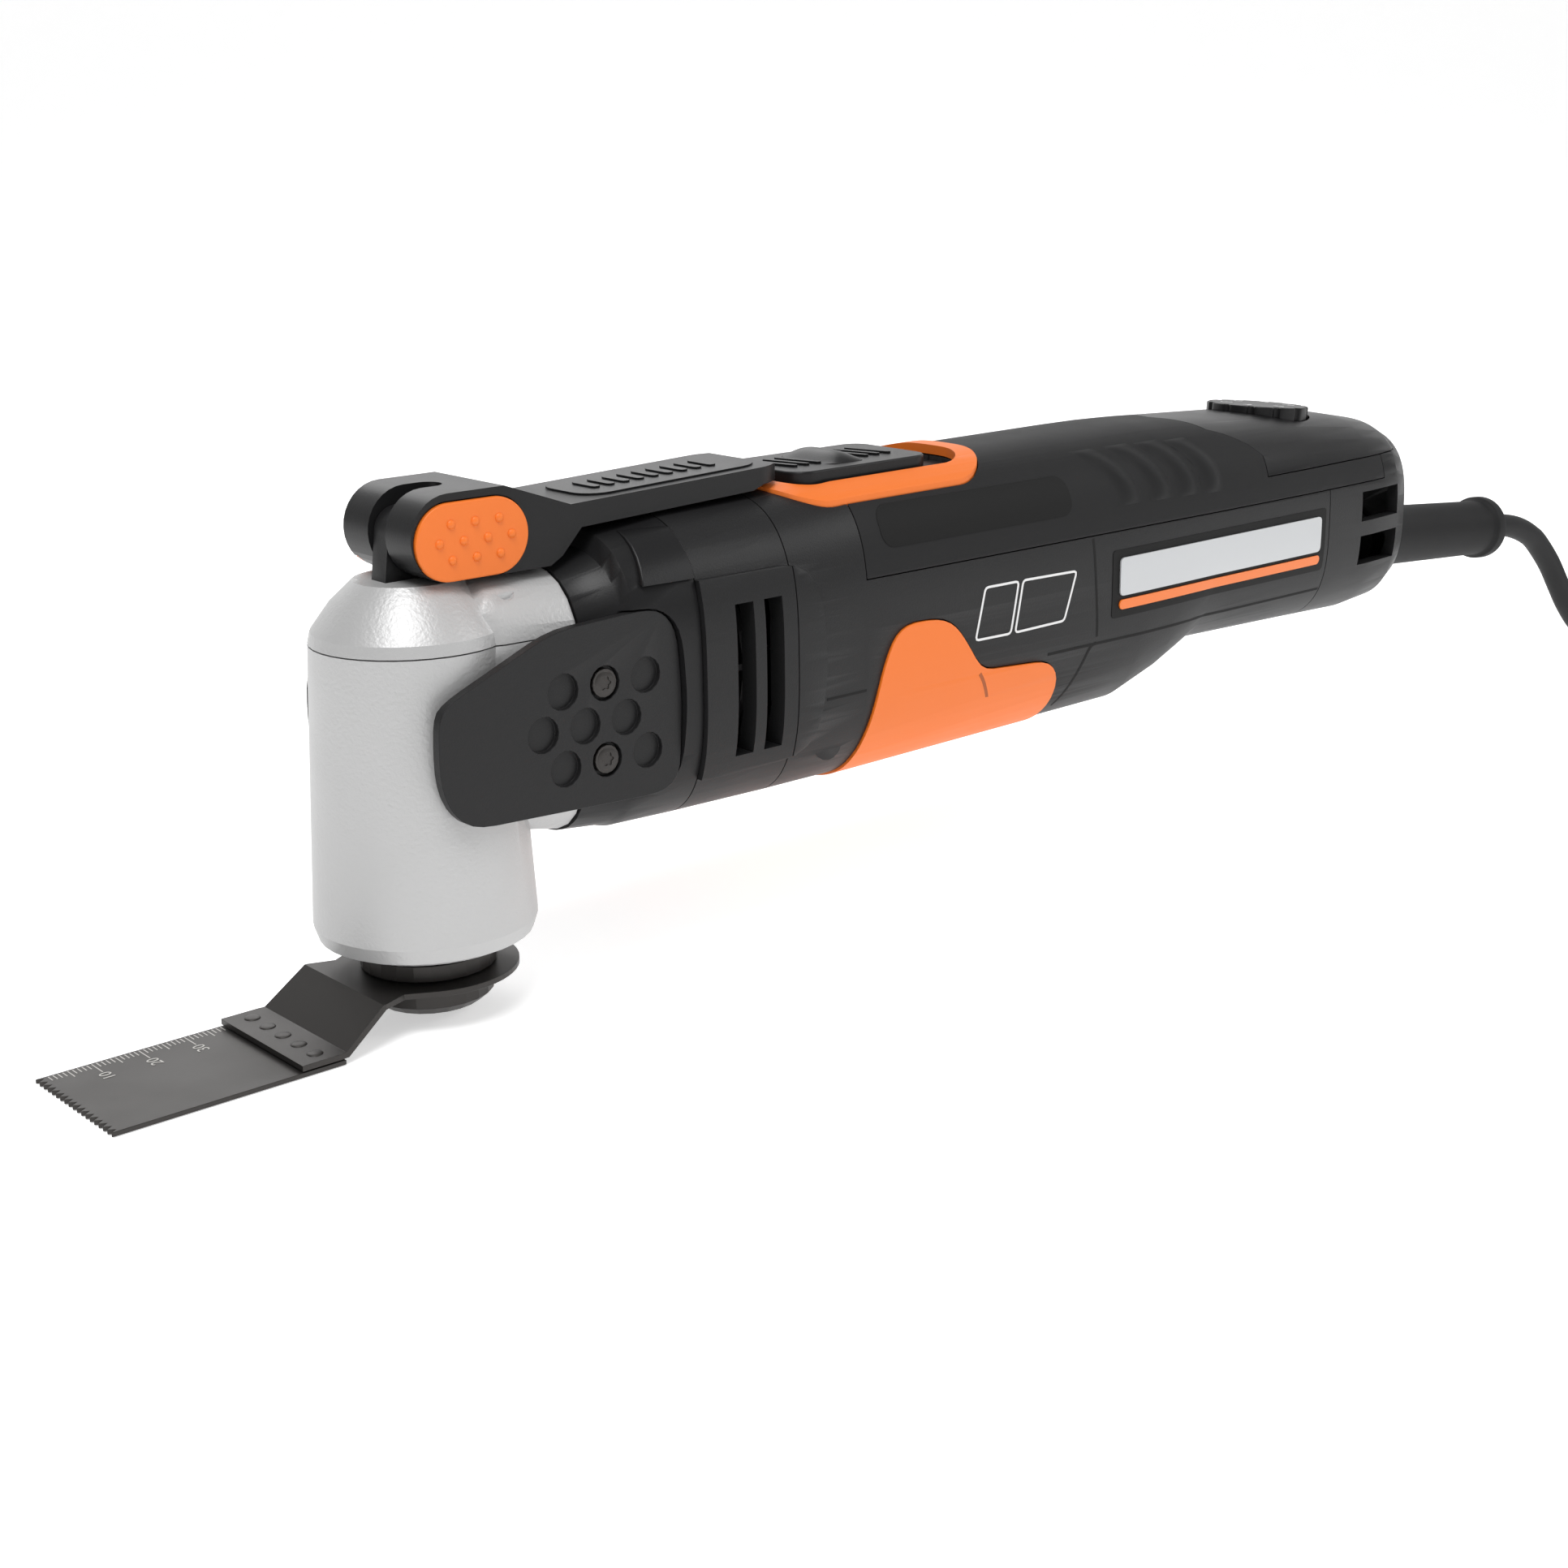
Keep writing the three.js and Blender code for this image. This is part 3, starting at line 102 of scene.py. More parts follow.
# %% Finishes
def finish(name, colour, roughness, metallic=0.0, grain=0.0, grain_size=0.5, patches=0.0, coat=0.0,
           specular=0.5):
    """A principled surface. Grain is a bump of that many mm, with spots of grain_size mm, patches is how far
    the roughness wanders, and specular is how strong a plain reflection is."""
    material = bpy.data.materials.new(name)
    material.use_nodes = True
    tree = material.node_tree
    shader = tree.nodes["Principled BSDF"]
    shader.inputs["Base Color"].default_value = (*colour, 1)
    shader.inputs["Roughness"].default_value = roughness
    shader.inputs["Metallic"].default_value = metallic
    shader.inputs["Coat Weight"].default_value = coat
    shader.inputs["Specular IOR Level"].default_value = specular
    where = tree.nodes.new("ShaderNodeTexCoord")
    if grain:
        noise = tree.nodes.new("ShaderNodeTexNoise")
        noise.inputs["Scale"].default_value = 1 / (grain_size * MM)
        noise.inputs["Detail"].default_value = 2
        tree.links.new(where.outputs["Object"], noise.inputs["Vector"])
        bump = tree.nodes.new("ShaderNodeBump")
        bump.inputs["Strength"].default_value = 0.6
        bump.inputs["Distance"].default_value = grain * MM
        tree.links.new(noise.outputs["Fac"], bump.inputs["Height"])
        tree.links.new(bump.outputs["Normal"], shader.inputs["Normal"])
    if patches:
        cloud = tree.nodes.new("ShaderNodeTexNoise")
        cloud.inputs["Scale"].default_value = 60
        cloud.inputs["Detail"].default_value = 4
        tree.links.new(where.outputs["Object"], cloud.inputs["Vector"])
        spread = tree.nodes.new("ShaderNodeMapRange")
        spread.inputs["To Min"].default_value = roughness - patches
        spread.inputs["To Max"].default_value = roughness + patches
        tree.links.new(cloud.outputs["Fac"], spread.inputs["Value"])
        tree.links.new(spread.outputs["Result"], shader.inputs["Roughness"])
    return material


FINISHES = {
    "casting": finish("cast_silver", (0.46, 0.46, 0.46), 0.42, 0.3, grain=0.16, grain_size=0.8, patches=0.06),
    "black_plastic": finish("grained_black", (0.013, 0.013, 0.0135), 0.42, grain=0.06, grain_size=0.35,
                            patches=0.05, specular=0.22),
    "smooth_black": finish("smooth_black", (0.010, 0.010, 0.0105), 0.36, grain=0.03, grain_size=0.4,
                           patches=0.05, specular=0.22),
    "soft_black": finish("soft_touch", (0.010, 0.010, 0.0105), 0.6, grain=0.02, grain_size=0.3,
                         patches=0.05, specular=0.22),
    "dark_label": finish("dark_label", (0.004, 0.004, 0.004), 0.6, specular=0.22),
    "groove": finish("groove_shade", (0.002, 0.002, 0.002), 0.9),
    "orange_plastic": finish("orange_grip", (0.76, 0.16, 0.012), 0.5, grain=0.02, grain_size=0.3, patches=0.05),
    "orange_gloss": finish("orange_gloss", (0.76, 0.16, 0.010), 0.35, coat=0.15),
    "plain_silver": finish("plain_silver", (0.50, 0.51, 0.52), 0.4, 0.5, grain=0.004, grain_size=0.3),
    "white_print": finish("white_print", (0.70, 0.70, 0.70), 0.55),
    "orange_shadow": finish("orange_shadow", (0.33, 0.07, 0.006), 0.6),
    "etched": finish("etched_marks", (0.42, 0.41, 0.39), 0.5, 0.4),
    "steel": finish("ground_steel", (0.55, 0.55, 0.56), 0.32, 1.0, grain=0.004, grain_size=0.2, patches=0.08),
    "dark_steel": finish("black_steel", (0.042, 0.039, 0.037), 0.40, 0.7, grain=0.008, grain_size=0.4, patches=0.09),
    "copper": finish("enamelled_copper", (0.55, 0.22, 0.09), 0.35, 0.9, patches=0.06),
    "carbon": finish("pressed_carbon", (0.02, 0.02, 0.02), 0.7),
    "circuit_board": finish("board_green", (0.02, 0.13, 0.04), 0.45, coat=0.3),
    "pin_brass": finish("bright_pins", (0.62, 0.6, 0.55), 0.25, 1.0),
    "cord_rubber": finish("cord_rubber", (0.012, 0.012, 0.0125), 0.6, grain=0.01, grain_size=0.3,
                          patches=0.05, specular=0.22),
}
slot_of = {row["node"]: row["material_slot"] for row in frame["record"]["subparts"]}
for name, node in nodes.items():
    node.data.materials.clear()
    node.data.materials.append(FINISHES[slot_of[name]])
    for modifier_type in ("WELD", "BEVEL"):
        modifier = node.modifiers.new(modifier_type.lower(), modifier_type)
        if modifier_type == "WELD":
            modifier.merge_threshold = 2e-6
        else:
            modifier.limit_method = "ANGLE"
            modifier.angle_limit = math.radians(35)
            modifier.width = 0.12 * MM
            modifier.segments = 1
            modifier.harden_normals = True
print("finishes", len(FINISHES))


# %% [markdown]
# ## Meshes from grids
#
# Most new pieces are grids: a function of two parameters gives a whole array of points at once, and the faces
# follow from the array's shape. A grid that closes on itself in one direction is a tube, and its two ends are
# closed with one face each.

# %% Grid and slab helpers
def piece(name, points, faces, material, body="housing", slot="black_plastic", smooth=35):
    """A mesh object from an array of points in metres and lists of corners, riding on a body."""
    mesh = bpy.data.meshes.new(name)
    mesh.from_pydata(np.asarray(points).reshape(-1, 3).tolist(), [], [list(map(int, f)) for f in faces])
    mesh.validate()
    mesh.update()
    made = bpy.data.objects.new(name, mesh)
    bpy.context.scene.collection.objects.link(made)
    mesh.materials.append(FINISHES[material])
    shade(made, smooth)
    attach(made, body)
    return made


def shade(made, degrees):
    """Smooth shading, with the edges sharper than that many degrees kept sharp."""
    mesh = made.data
    mesh.polygons.foreach_set("use_smooth", [True] * len(mesh.polygons))
    mesh.set_sharp_from_angle(angle=math.radians(degrees))


def grid_faces(rows, columns, closed=False):
    """Four corners for each cell of a rows by columns grid, numbered row by row. A closed grid joins its last
    column to its first."""
    i, j = np.meshgrid(np.arange(rows - 1), np.arange(columns if closed else columns - 1), indexing="ij")
    k = (j + 1) % columns
    a, b = i * columns + j, i * columns + k
    return np.stack([a, b, b + columns, a + columns], -1).reshape(-1, 4)


def tube_piece(name, rings, material, **rest):
    """A closed tube from an array of rings, shape (rings, points, 3), with a cap on each end."""
    rows, columns = rings.shape[:2]
    faces = grid_faces(rows, columns, closed=True).tolist()
    faces.append(list(range(columns))[::-1])
    faces.append(list(range((rows - 1) * columns, rows * columns)))
    return facing_out(piece(name, rings, faces, material, **rest))


def facing_out(made):
    """Turns the faces outwards, by the sign of the volume that they hold."""
    bm = bmesh.new()
    bm.from_mesh(made.data)
    bmesh.ops.remove_doubles(bm, verts=bm.verts, dist=1e-7)
    bmesh.ops.recalc_face_normals(bm, faces=bm.faces)
    if bm.calc_volume(signed=True) < 0:
        bmesh.ops.reverse_faces(bm, faces=bm.faces)
    bm.to_mesh(made.data)
    bm.free()
    return made


def slab(name, outer, inner, material, **rest):
    """A closed plate between two grids of the same shape: its face, its back, and a rim joining them."""
    rows, columns = outer.shape[:2]
    face = grid_faces(rows, columns)
    count = rows * columns
    index = np.arange(count).reshape(rows, columns)
    edge = np.concatenate([index[0, :-1], index[:-1, -1], index[-1, :0:-1], index[:0:-1, 0]])
    after = np.roll(edge, -1)
    rim = np.stack([edge, after, after + count, edge + count], -1)
    faces = face.tolist() + (face[:, ::-1] + count).tolist() + rim[:, ::-1].tolist()
    return facing_out(piece(name, np.concatenate([outer.reshape(-1, 3), inner.reshape(-1, 3)]), faces, material,
                            **rest))


def turned(name, profile, material, axis="z", at=(0, 0, 0), segments=96, droop=0.0, **rest):
    """A profile of [radius, place along the axis] turned about Z or X, with its points in millimetres from the
    spindle axis. Droop tilts a profile turned about X down by that many degrees."""
    radius, along = np.array(profile, float).T
    angle = np.linspace(0, 2 * np.pi, segments, endpoint=False)
    u, v = np.outer(radius, np.cos(angle)), np.outer(radius, np.sin(angle))
    w = np.repeat(along[:, None], segments, 1)
    points = np.stack([u, v, w] if axis == "z" else [w, u, v], -1)
    if droop:
        c, s = math.cos(math.radians(droop)), math.sin(math.radians(droop))
        x, z = points[..., 0].copy(), points[..., 2].copy()
        points[..., 0], points[..., 2] = c * x + s * z, c * z - s * x
    return tube_piece(name, place(points + np.array(at, float)), material, **rest)


def arc(centre, radius, start, end, count=6):
    """Points on an arc, from one angle in degrees to another."""
    angle = np.radians(np.linspace(start, end, count))
    return [(centre[0] + radius * np.cos(a), centre[1] + radius * np.sin(a)) for a in angle]


# %% [markdown]
# ## The lead
#
# A mains lead of this size is about 7 mm across and 3 m long. It leaves the rubber boot straight, falls under
# its own weight, and is folded into a flat hank on the surface, held by a strap, with the plug on top. It
# could be a Bézier curve with a bevel, but a ring of points carried along the route gives closed ends and an
# exact length, so the route is an array, and each ring stands square to it.

# %% Lead: the route
CORD_R = 3.5
TURN_PITCH = 7.4
HANK_FOLD_R = 24.7
HANK_RUN_X = (512.0, 652.0)
HANK_BASE_Z = 1.3
# One turn each: which column (0 is the inner one) and which layer.
HANK_TURNS = np.array([(1, 0), (0, 0), (0, 1), (1, 1), (1, 2), (0, 2)])
LEAD = [
    [383.1, 0, 51.8], [387.5, 0, 51.45], [392, 0, 51.1], [398, 0, 50.2], [403.9, 0, 48.5], [409.3, 0, 46.2],
    [414.3, 0, 43.1], [422.9, 0, 35.2], [429.3, 0, 27.5], [435.7, 0, 19.9], [444.4, 0, 12], [454.8, 0, 6.5],
    [463, -0.6, 4.4], [472, -3.2, 3.9], [481, -8.3, 3.9], [490, -15.6, 4], [499, -22.6, 4.4], [508, -27, 4.8],
]
TAIL = [
    [644, 20.8, 20.4], [636, 19.8, 22.4], [628, 18, 25.3], [620, 15.8, 28.4], [612, 13.6, 30.6],
    [604, 12.4, 31.6], [596, 12, 31.8], [588.3, 12, 31.8],
]


def hank_route():
    """Long turns, out along the near side, round the far fold, back along the other side and round again. A
    turn eases over to the next one's column and layer while it comes back."""
    radius = HANK_FOLD_R + (HANK_TURNS[:, 0] - 0.5) * TURN_PITCH
    level = HANK_BASE_Z + (HANK_TURNS[:, 1] + 0.5) * TURN_PITCH
    near, far = HANK_RUN_X
    run = np.linspace(0, 1, 14)
    fold = np.linspace(0, np.pi, 14)[1:-1]
    rows = []
    for turn, (r, z) in enumerate(zip(radius, level)):
        out = np.stack([near + (far - near) * run, 0 * run - r, 0 * run + z], -1)
        end = np.stack([far + r * np.sin(fold), -r * np.cos(fold), 0 * fold + z], -1)
        rows += [out, end]
        if turn + 1 == len(radius):
            break
        ease = run * run * (3 - 2 * run)
        r_back, z_back = r + (radius[turn + 1] - r) * ease, z + (level[turn + 1] - z) * ease
        rows.append(np.stack([far - (far - near) * run, r_back, z_back], -1))
        r_next = radius[turn + 1]
        rows.append(np.stack([near - r_next * np.sin(fold), r_next * np.cos(fold), 0 * fold + z_back[-1]], -1))
    rows.append(np.array([[far, radius[-1], level[-1]]]))
    return np.vstack(rows)


def smooth_route(points, step):
    """A Catmull-Rom curve through the points, read at even steps: each piece is the cubic whose ends are two
    of the points and whose slopes are half the way between their neighbours."""
    points = np.asarray(points, float)
    before = np.vstack([2 * points[:1] - points[1:2], points, 2 * points[-1:] - points[-2:-1]])
    t = np.linspace(0, 1, 12, endpoint=False)[None, :, None]
    p0, p1, p2, p3 = (before[i:len(before) - 3 + i, None, :] for i in range(4))
    curve = 0.5 * (2 * p1 + (p2 - p0) * t + (2 * p0 - 5 * p1 + 4 * p2 - p3) * t ** 2
                   + (3 * p1 - 3 * p2 + p3 - p0) * t ** 3)
    dense = np.vstack([curve.reshape(-1, 3), points[-1:]])
    along = np.concatenate([[0], np.cumsum(np.linalg.norm(np.diff(dense, axis=0), axis=1))])
    even = np.linspace(0, along[-1], int(along[-1] / step) + 1)
    return np.stack([np.interp(even, along, dense[:, k]) for k in range(3)], -1)


route = place(smooth_route(np.vstack([LEAD, hank_route(), TAIL]), 2.5))


# %% Lead: the tube
def swept(route, radius, sides=14):
    """Rings square to a route. The side direction is the level one across the route, and the other is square
    to both, so a ring never twists."""
    ahead = np.gradient(route, axis=0)
    ahead /= np.linalg.norm(ahead, axis=1)[:, None]
    side = np.cross(ahead, [0, 0, 1.0])
    side /= np.linalg.norm(side, axis=1)[:, None]
    up = np.cross(side, ahead)
    angle = np.linspace(0, 2 * np.pi, sides, endpoint=False)[None, :, None]
    return route[:, None, :] + radius * (side[:, None, :] * np.cos(angle) + up[:, None, :] * np.sin(angle))


cord = tube_piece("cord", swept(route, CORD_R * MM), "cord_rubber", slot="soft_black")
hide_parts("cord_lead", "cord_hank", "cord_tail")
print("lead faces", len(cord.data.polygons))


# %% [markdown]
# ## Strain relief
#
# The boot is moulded rubber: a plain taper that ends in a rounded flange. A turned profile is the whole of it.

# %% Strain relief
BODY_END = (317.0, 0.0, 57.0)
BOOT_DROOP = 4.5


def boot_profile():
    """From the bore out, along the taper, round the end flange and back."""
    profile = [(CORD_R + 0.3, -6), (9.6, -6), (9.6, -0.6), (9.3, 0.2), (8.75, 0.8), (8.1, 60), (8.3, 60.7)]
    profile += arc((8.3, 62.2), 1.0, -60, 0, 4) + arc((8.3, 64.8), 1.0, 0, 90, 5)
    profile += [(6.2, 66), (5.6, 65.2), (CORD_R + 0.3, 65.2)]
    return profile + profile[:1]


def ring_of_revolution(name, profile, material, **rest):
    """A turned ring: like a turned piece, but its profile closes on itself and leaves a bore."""
    made = turned(name, profile, material, **rest)
    bm = bmesh.new()
    bm.from_mesh(made.data)
    caps = [f for f in bm.faces if len(f.verts) > 4]
    bmesh.ops.delete(bm, geom=caps, context="FACES_ONLY")
    bmesh.ops.remove_doubles(bm, verts=bm.verts, dist=1e-7)
    bmesh.ops.recalc_face_normals(bm, faces=bm.faces)
    bm.to_mesh(made.data)
    bm.free()
    shade(made, 35)
    return made


boot = ring_of_revolution("strain_relief", boot_profile(), "soft_black", axis="x", at=BODY_END, segments=48,
                          droop=BOOT_DROOP, slot="soft_black")
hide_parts("cord_boot")
print("boot faces", len(boot.data.polygons))


# %% [markdown]
# ## Smooth shells
#
# The plastic shells and the casting are faceted solids: their sections have corners where the real ones are
# round. A subdivision surface would round the seams and windows away with the facets. Instead each shell is
# copied, sliced along its length into narrow strips, and every point is pushed out by the gap between the
# facet and the true curve. Edges, beds and slots stay where they are along the tool.

# %% Shells: the section and its correction
ROUNDNESS = 3
STATIONS = np.array([
    # x, half width, top, bottom
    [27, 22.2, 91.4, 33.6], [36, 25, 93.5, 33], [38, 26, 97, 32.4], [54, 26.6, 98.8, 32], [80, 26.6, 99.6, 31.6],
    [101, 26.4, 101.2, 31.5], [194, 26.4, 101.6, 32.6], [208, 26.2, 101.5, 37], [222, 26, 101, 43.5],
    [262, 25.7, 99, 42.6], [290, 25, 96.2, 41.8], [303, 23.8, 93.8, 42.8], [311, 20.5, 90.5, 45.5],
    [317, 13.5, 84, 51.5],
])
SHELL_FACETS = 28


def section(x):
    """Half width, middle height and half height of the body at each x, in millimetres."""
    side, top, bottom = (np.interp(x, STATIONS[:, 0], STATIONS[:, k]) for k in (1, 2, 3))
    return side, (top + bottom) / 2, (top - bottom) / 2


def corrected(points):
    """Moves points out from the facets to the curve. In units of the half width and half height the curve is
    |y|^3 + |z|^3 = 1 and a facet is the chord between two of its 28 corners, so the factor is the curve's
    distance from the middle over the chord's, both in the point's own direction."""
    x = points[:, 0]
    side, middle, half = section(x)
    y, z = points[:, 1] / side, (points[:, 2] - middle) / half
    r = np.maximum(np.hypot(y, z), 1e-6)
    y, z = y / r, z / r
    power = ROUNDNESS / 2
    angle = np.arctan2(np.abs(z) ** power * np.sign(z), np.abs(y) ** power * np.sign(y))
    step = 2 * np.pi / SHELL_FACETS
    low = (np.floor(angle / step - 0.5) + 0.5) * step
    corner = lambda a: np.stack([np.sign(np.cos(a)) * np.abs(np.cos(a)) ** (1 / power),
                                 np.sign(np.sin(a)) * np.abs(np.sin(a)) ** (1 / power)], -1)
    p, q = corner(low), corner(low + step)
    edge = q - p
    chord = (p[:, 0] * edge[:, 1] - p[:, 1] * edge[:, 0]) / (y * edge[:, 1] - z * edge[:, 0])
    curve = (np.abs(y) ** ROUNDNESS + np.abs(z) ** ROUNDNESS) ** (-1 / ROUNDNESS)
    factor = np.where(r > 0.6, curve / chord, 1.0)
    out = points.copy()
    out[:, 1] *= factor
    out[:, 2] = middle + (points[:, 2] - middle) * factor
    return out


# %% Shells: copy, slice and correct
SLICES = 84


def shell_copy(node, material, rounded=0.35, name=None, body="housing", slices=SLICES, fix=corrected, axis_z=66.0):
    """A copy of a CAD shell with its doubles merged, its flat faces joined, sliced by planes through the
    body's middle line, and corrected. Its edges are then rounded by a bevel."""
    made = nodes[node].copy()
    made.data = nodes[node].data.copy()
    made.name = name or node + "_shell"
    made.modifiers.clear()
    bpy.context.scene.collection.objects.link(made)
    bm = bmesh.new()
    bm.from_mesh(made.data)
    bmesh.ops.remove_doubles(bm, verts=bm.verts, dist=2e-6)
    bmesh.ops.dissolve_limit(bm, angle_limit=math.radians(0.1), verts=bm.verts, edges=bm.edges)
    for angle in np.pi * (np.arange(slices) + 0.5) / slices:
        bmesh.ops.bisect_plane(bm, geom=bm.verts[:] + bm.edges[:] + bm.faces[:], dist=1e-7,
                               plane_co=(0, 0, axis_z * MM), plane_no=(0, -math.sin(angle), math.cos(angle)))
    bm.to_mesh(made.data)
    bm.free()
    points = np.empty(len(made.data.vertices) * 3)
    made.data.vertices.foreach_get("co", points)
    points = points.reshape(-1, 3)
    points[:, 0] -= SPINDLE_X
    made.data.vertices.foreach_set("co", place(fix(points / MM) if fix else points / MM).ravel())
    made.data.update()
    made.data.materials.clear()
    made.data.materials.append(FINISHES[material])
    shade(made, 32)
    if rounded:
        bevel = made.modifiers.new("rounded", "BEVEL")
        bevel.limit_method = "ANGLE"
        bevel.angle_limit = math.radians(40)
        bevel.width = rounded * MM
        bevel.segments = 3 if rounded > 0.5 else 2
        bevel.harden_normals = True
    made.parent = None
    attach(made, body)
    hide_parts(node)
    return made


SHELLS = {
    "front_collar": "smooth_black", "vent_ring": "black_plastic", "housing_left": "black_plastic",
    "housing_right": "black_plastic", "rear_cover": "black_plastic", "soft_grip": "soft_black",
    "dial_cover": "smooth_black", "switch_ring": "orange_plastic", "belly_pad_left": "orange_plastic",
    "belly_pad_right": "orange_plastic",
}
for node, material in SHELLS.items():
    made = shell_copy(node, material, rounded=0.6 if node == "switch_ring" else 0.35)
    print(made.name, len(made.data.polygons), "faces")


# %% [markdown]
# ## Gear head, guards and lever
#
# The barrel of the gear head is a cone of 36 facets, so each point of its copy moves out by the same kind of
# correction, now for a circle. The guards, the lever, the slider and the dial only need their edges rounded.

# %% Head, guards, lever
HEAD_FACETS = 36
HEAD_PROFILE = np.array([[15.6, 19.2], [16.9, 22.2], [20, 23.2], [78.45, 20.3], [81.15, 19.7], [86.6, 15.6],
                         [91, 10.8]])


def round_head(points):
    """Moves points of the barrel out from the facets to the circle. A facet's middle is the circle's radius
    times the cosine of half a step, so a point at the angle t from that middle is short by cos(t) / cos(half)."""
    radius = np.hypot(points[:, 0], points[:, 1])
    step = 2 * np.pi / HEAD_FACETS
    angle = np.arctan2(points[:, 1], points[:, 0])
    off = (angle + step / 2) % step - step / 2
    to_middle = step / 2 - np.abs(off)
    true = np.interp(points[:, 2], HEAD_PROFILE[:, 0], HEAD_PROFILE[:, 1])
    facet = true * np.cos(step / 2) / np.cos(to_middle)
    on_it = np.abs(radius - facet) < 0.05
    out = points.copy()
    out[:, :2] *= np.where(on_it, true / np.maximum(radius, 1e-6), 1.0)[:, None]
    return out


for node in ("gear_housing", "gear_housing_cap"):
    head = shell_copy(node, "casting", rounded=0.6, fix=round_head, slices=0)
# The top of the cap, above 91.2 mm, takes the smooth black finish: painted shade under the lever's ears.
head.data.materials.append(FINISHES["smooth_black"])
for polygon in head.data.polygons:
    if polygon.center.z > 91.2 * MM:
        polygon.material_index = 1
for node in ("side_guard_left", "side_guard_right"):
    shell_copy(node, "black_plastic", rounded=0.5, fix=None, slices=0)
shell_copy("lever", "smooth_black", rounded=1.1, fix=None, slices=0, body="lever")
for node in ("lever_pad_left", "lever_pad_right"):
    shell_copy(node, "orange_plastic", rounded=0.55, fix=None, slices=0, body="lever")
shell_copy("slide_switch", "smooth_black", rounded=0.8, fix=None, slices=0, body="slide_switch")
shell_copy("speed_dial", "smooth_black", rounded=0.35, fix=None, slices=0, body="speed_dial")


# %% [markdown]
# ## Domes, plates and screws
#
# Small raised dots are caps of a sphere, all in one mesh. A plate with round corners is a grid whose rows
# grow shorter near its top and bottom, by the height of the corner's circle there. A screw head is one polar
# grid: rings go out over the head, and inwards down its six-pointed recess.

# %% Domes and screws
def domes(name, centres, normal, radius, height, material, **rest):
    """Caps of a sphere on a flat face: a ring at the angle t from the middle stands at height * cos(t) and
    has the radius * sin(t), and a last ring closes the cap below the face."""
    normal = Vector(normal).normalized()
    across = normal.orthogonal().normalized()
    along = np.array(normal.cross(across))
    across, normal = np.array(across), np.array(normal)
    t = np.linspace(0.12, np.pi / 2, 6)
    ring_r = np.concatenate([radius * np.sin(t), [radius]])
    ring_h = np.concatenate([height * np.cos(t), [-0.3]])
    angle = np.linspace(0, 2 * np.pi, 20, endpoint=False)
    circle = np.cos(angle)[:, None] * across + np.sin(angle)[:, None] * along
    cap = ring_r[:, None, None] * circle + ring_h[:, None, None] * normal
    points = np.asarray(centres, float)[:, None, None, :] + cap
    faces = []
    rows, columns = cap.shape[:2]
    one = grid_faces(rows, columns, closed=True)
    for k in range(len(centres)):
        start = k * rows * columns
        faces += (one + start).tolist()
        faces.append(list(range(start, start + columns)))
        faces.append(list(range(start + (rows - 1) * columns, start + rows * columns))[::-1])
    return facing_out(piece(name, place(points), faces, material, smooth=60, **rest))


def screw_face(name, centre, side, radius, material):
    """The face of a pan-head screw with a six-pointed recess, on a side of the tool. Outside the recess a
    ring's radius is plain; inside, it is r * (1 + 0.16 cos 6a)."""
    angle = np.linspace(0, 2 * np.pi, 72, endpoint=False)
    star = 1 + 0.16 * np.cos(6 * angle)
    rings = [(radius, -0.9, 0), (radius, -0.35, 0), (radius * 0.93, -0.08, 0), (radius * 0.75, 0.12, 0),
             (radius * 0.52, 0.2, 0.7), (radius * 0.45, 0.2, 1), (radius * 0.43, -0.1, 1), (radius * 0.4, -0.75, 1),
             (radius * 0.1, -0.85, 0)]
    grid = []
    for r, h, starred in rings:
        reach = r * (1 + (star - 1) * starred)
        grid.append(np.stack([reach * np.cos(angle), 0 * angle + side * h, reach * np.sin(angle)], -1))
    return tube_piece(name, place(np.array(grid) + np.array(centre, float)), material, slot="dark_steel")


PAD_CENTRE = (8.3, 99.3)
DOT_PITCH = 5.65
DOT_ROW = 3.55
dots = [(i * DOT_PITCH, row * DOT_ROW) for row in (-1, 1) for i in (-1, 0, 1)]
dots += [((i - 1.5) * DOT_PITCH, 0) for i in range(4)]
for side, hand in ((1, "left"), (-1, "right")):
    at = [(PAD_CENTRE[0] + x, side * 13.3, PAD_CENTRE[1] + z) for x, z in dots]
    domes("lever_dots_" + hand, at, (0, side, 0), 0.95, 0.6, "orange_plastic", body="lever", slot="orange_plastic")
    for level, z in (("lower", 52.5), ("upper", 68.5)):
        screw_face(f"guard_screw_face_{hand}_{level}", (29.7, side * 24.9, z), side, 2.9, "dark_steel")
print("dots", len(dots))


# %% Plates on the lever
def rounded_grid(x_span, y_span, radius, rows=16, columns=48):
    """A grid that fills a rectangle with round corners, shape (rows, columns) for each coordinate."""
    y = y_span[0] + (y_span[1] - y_span[0]) * (1 - np.cos(np.linspace(0, np.pi, rows))) / 2
    depth = np.clip(radius - np.minimum(y - y_span[0], y_span[1] - y), 0, radius)
    inset = radius - np.sqrt(radius ** 2 - depth ** 2)
    start, length = x_span[0] + inset, x_span[1] - x_span[0] - 2 * inset
    x = start[:, None] + length[:, None] * np.linspace(0, 1, columns)
    return x, np.repeat(y[:, None], columns, 1)


ARM_LINE = ((32, 103.2), (87.5, 105.2))


def on_arm(x, y, proud):
    """Points on the sloping top of the lever's arm, stood out by proud."""
    z = np.interp(x, [ARM_LINE[0][0], ARM_LINE[1][0]], [ARM_LINE[0][1], ARM_LINE[1][1]])
    return np.stack([x, y, z + proud], -1)


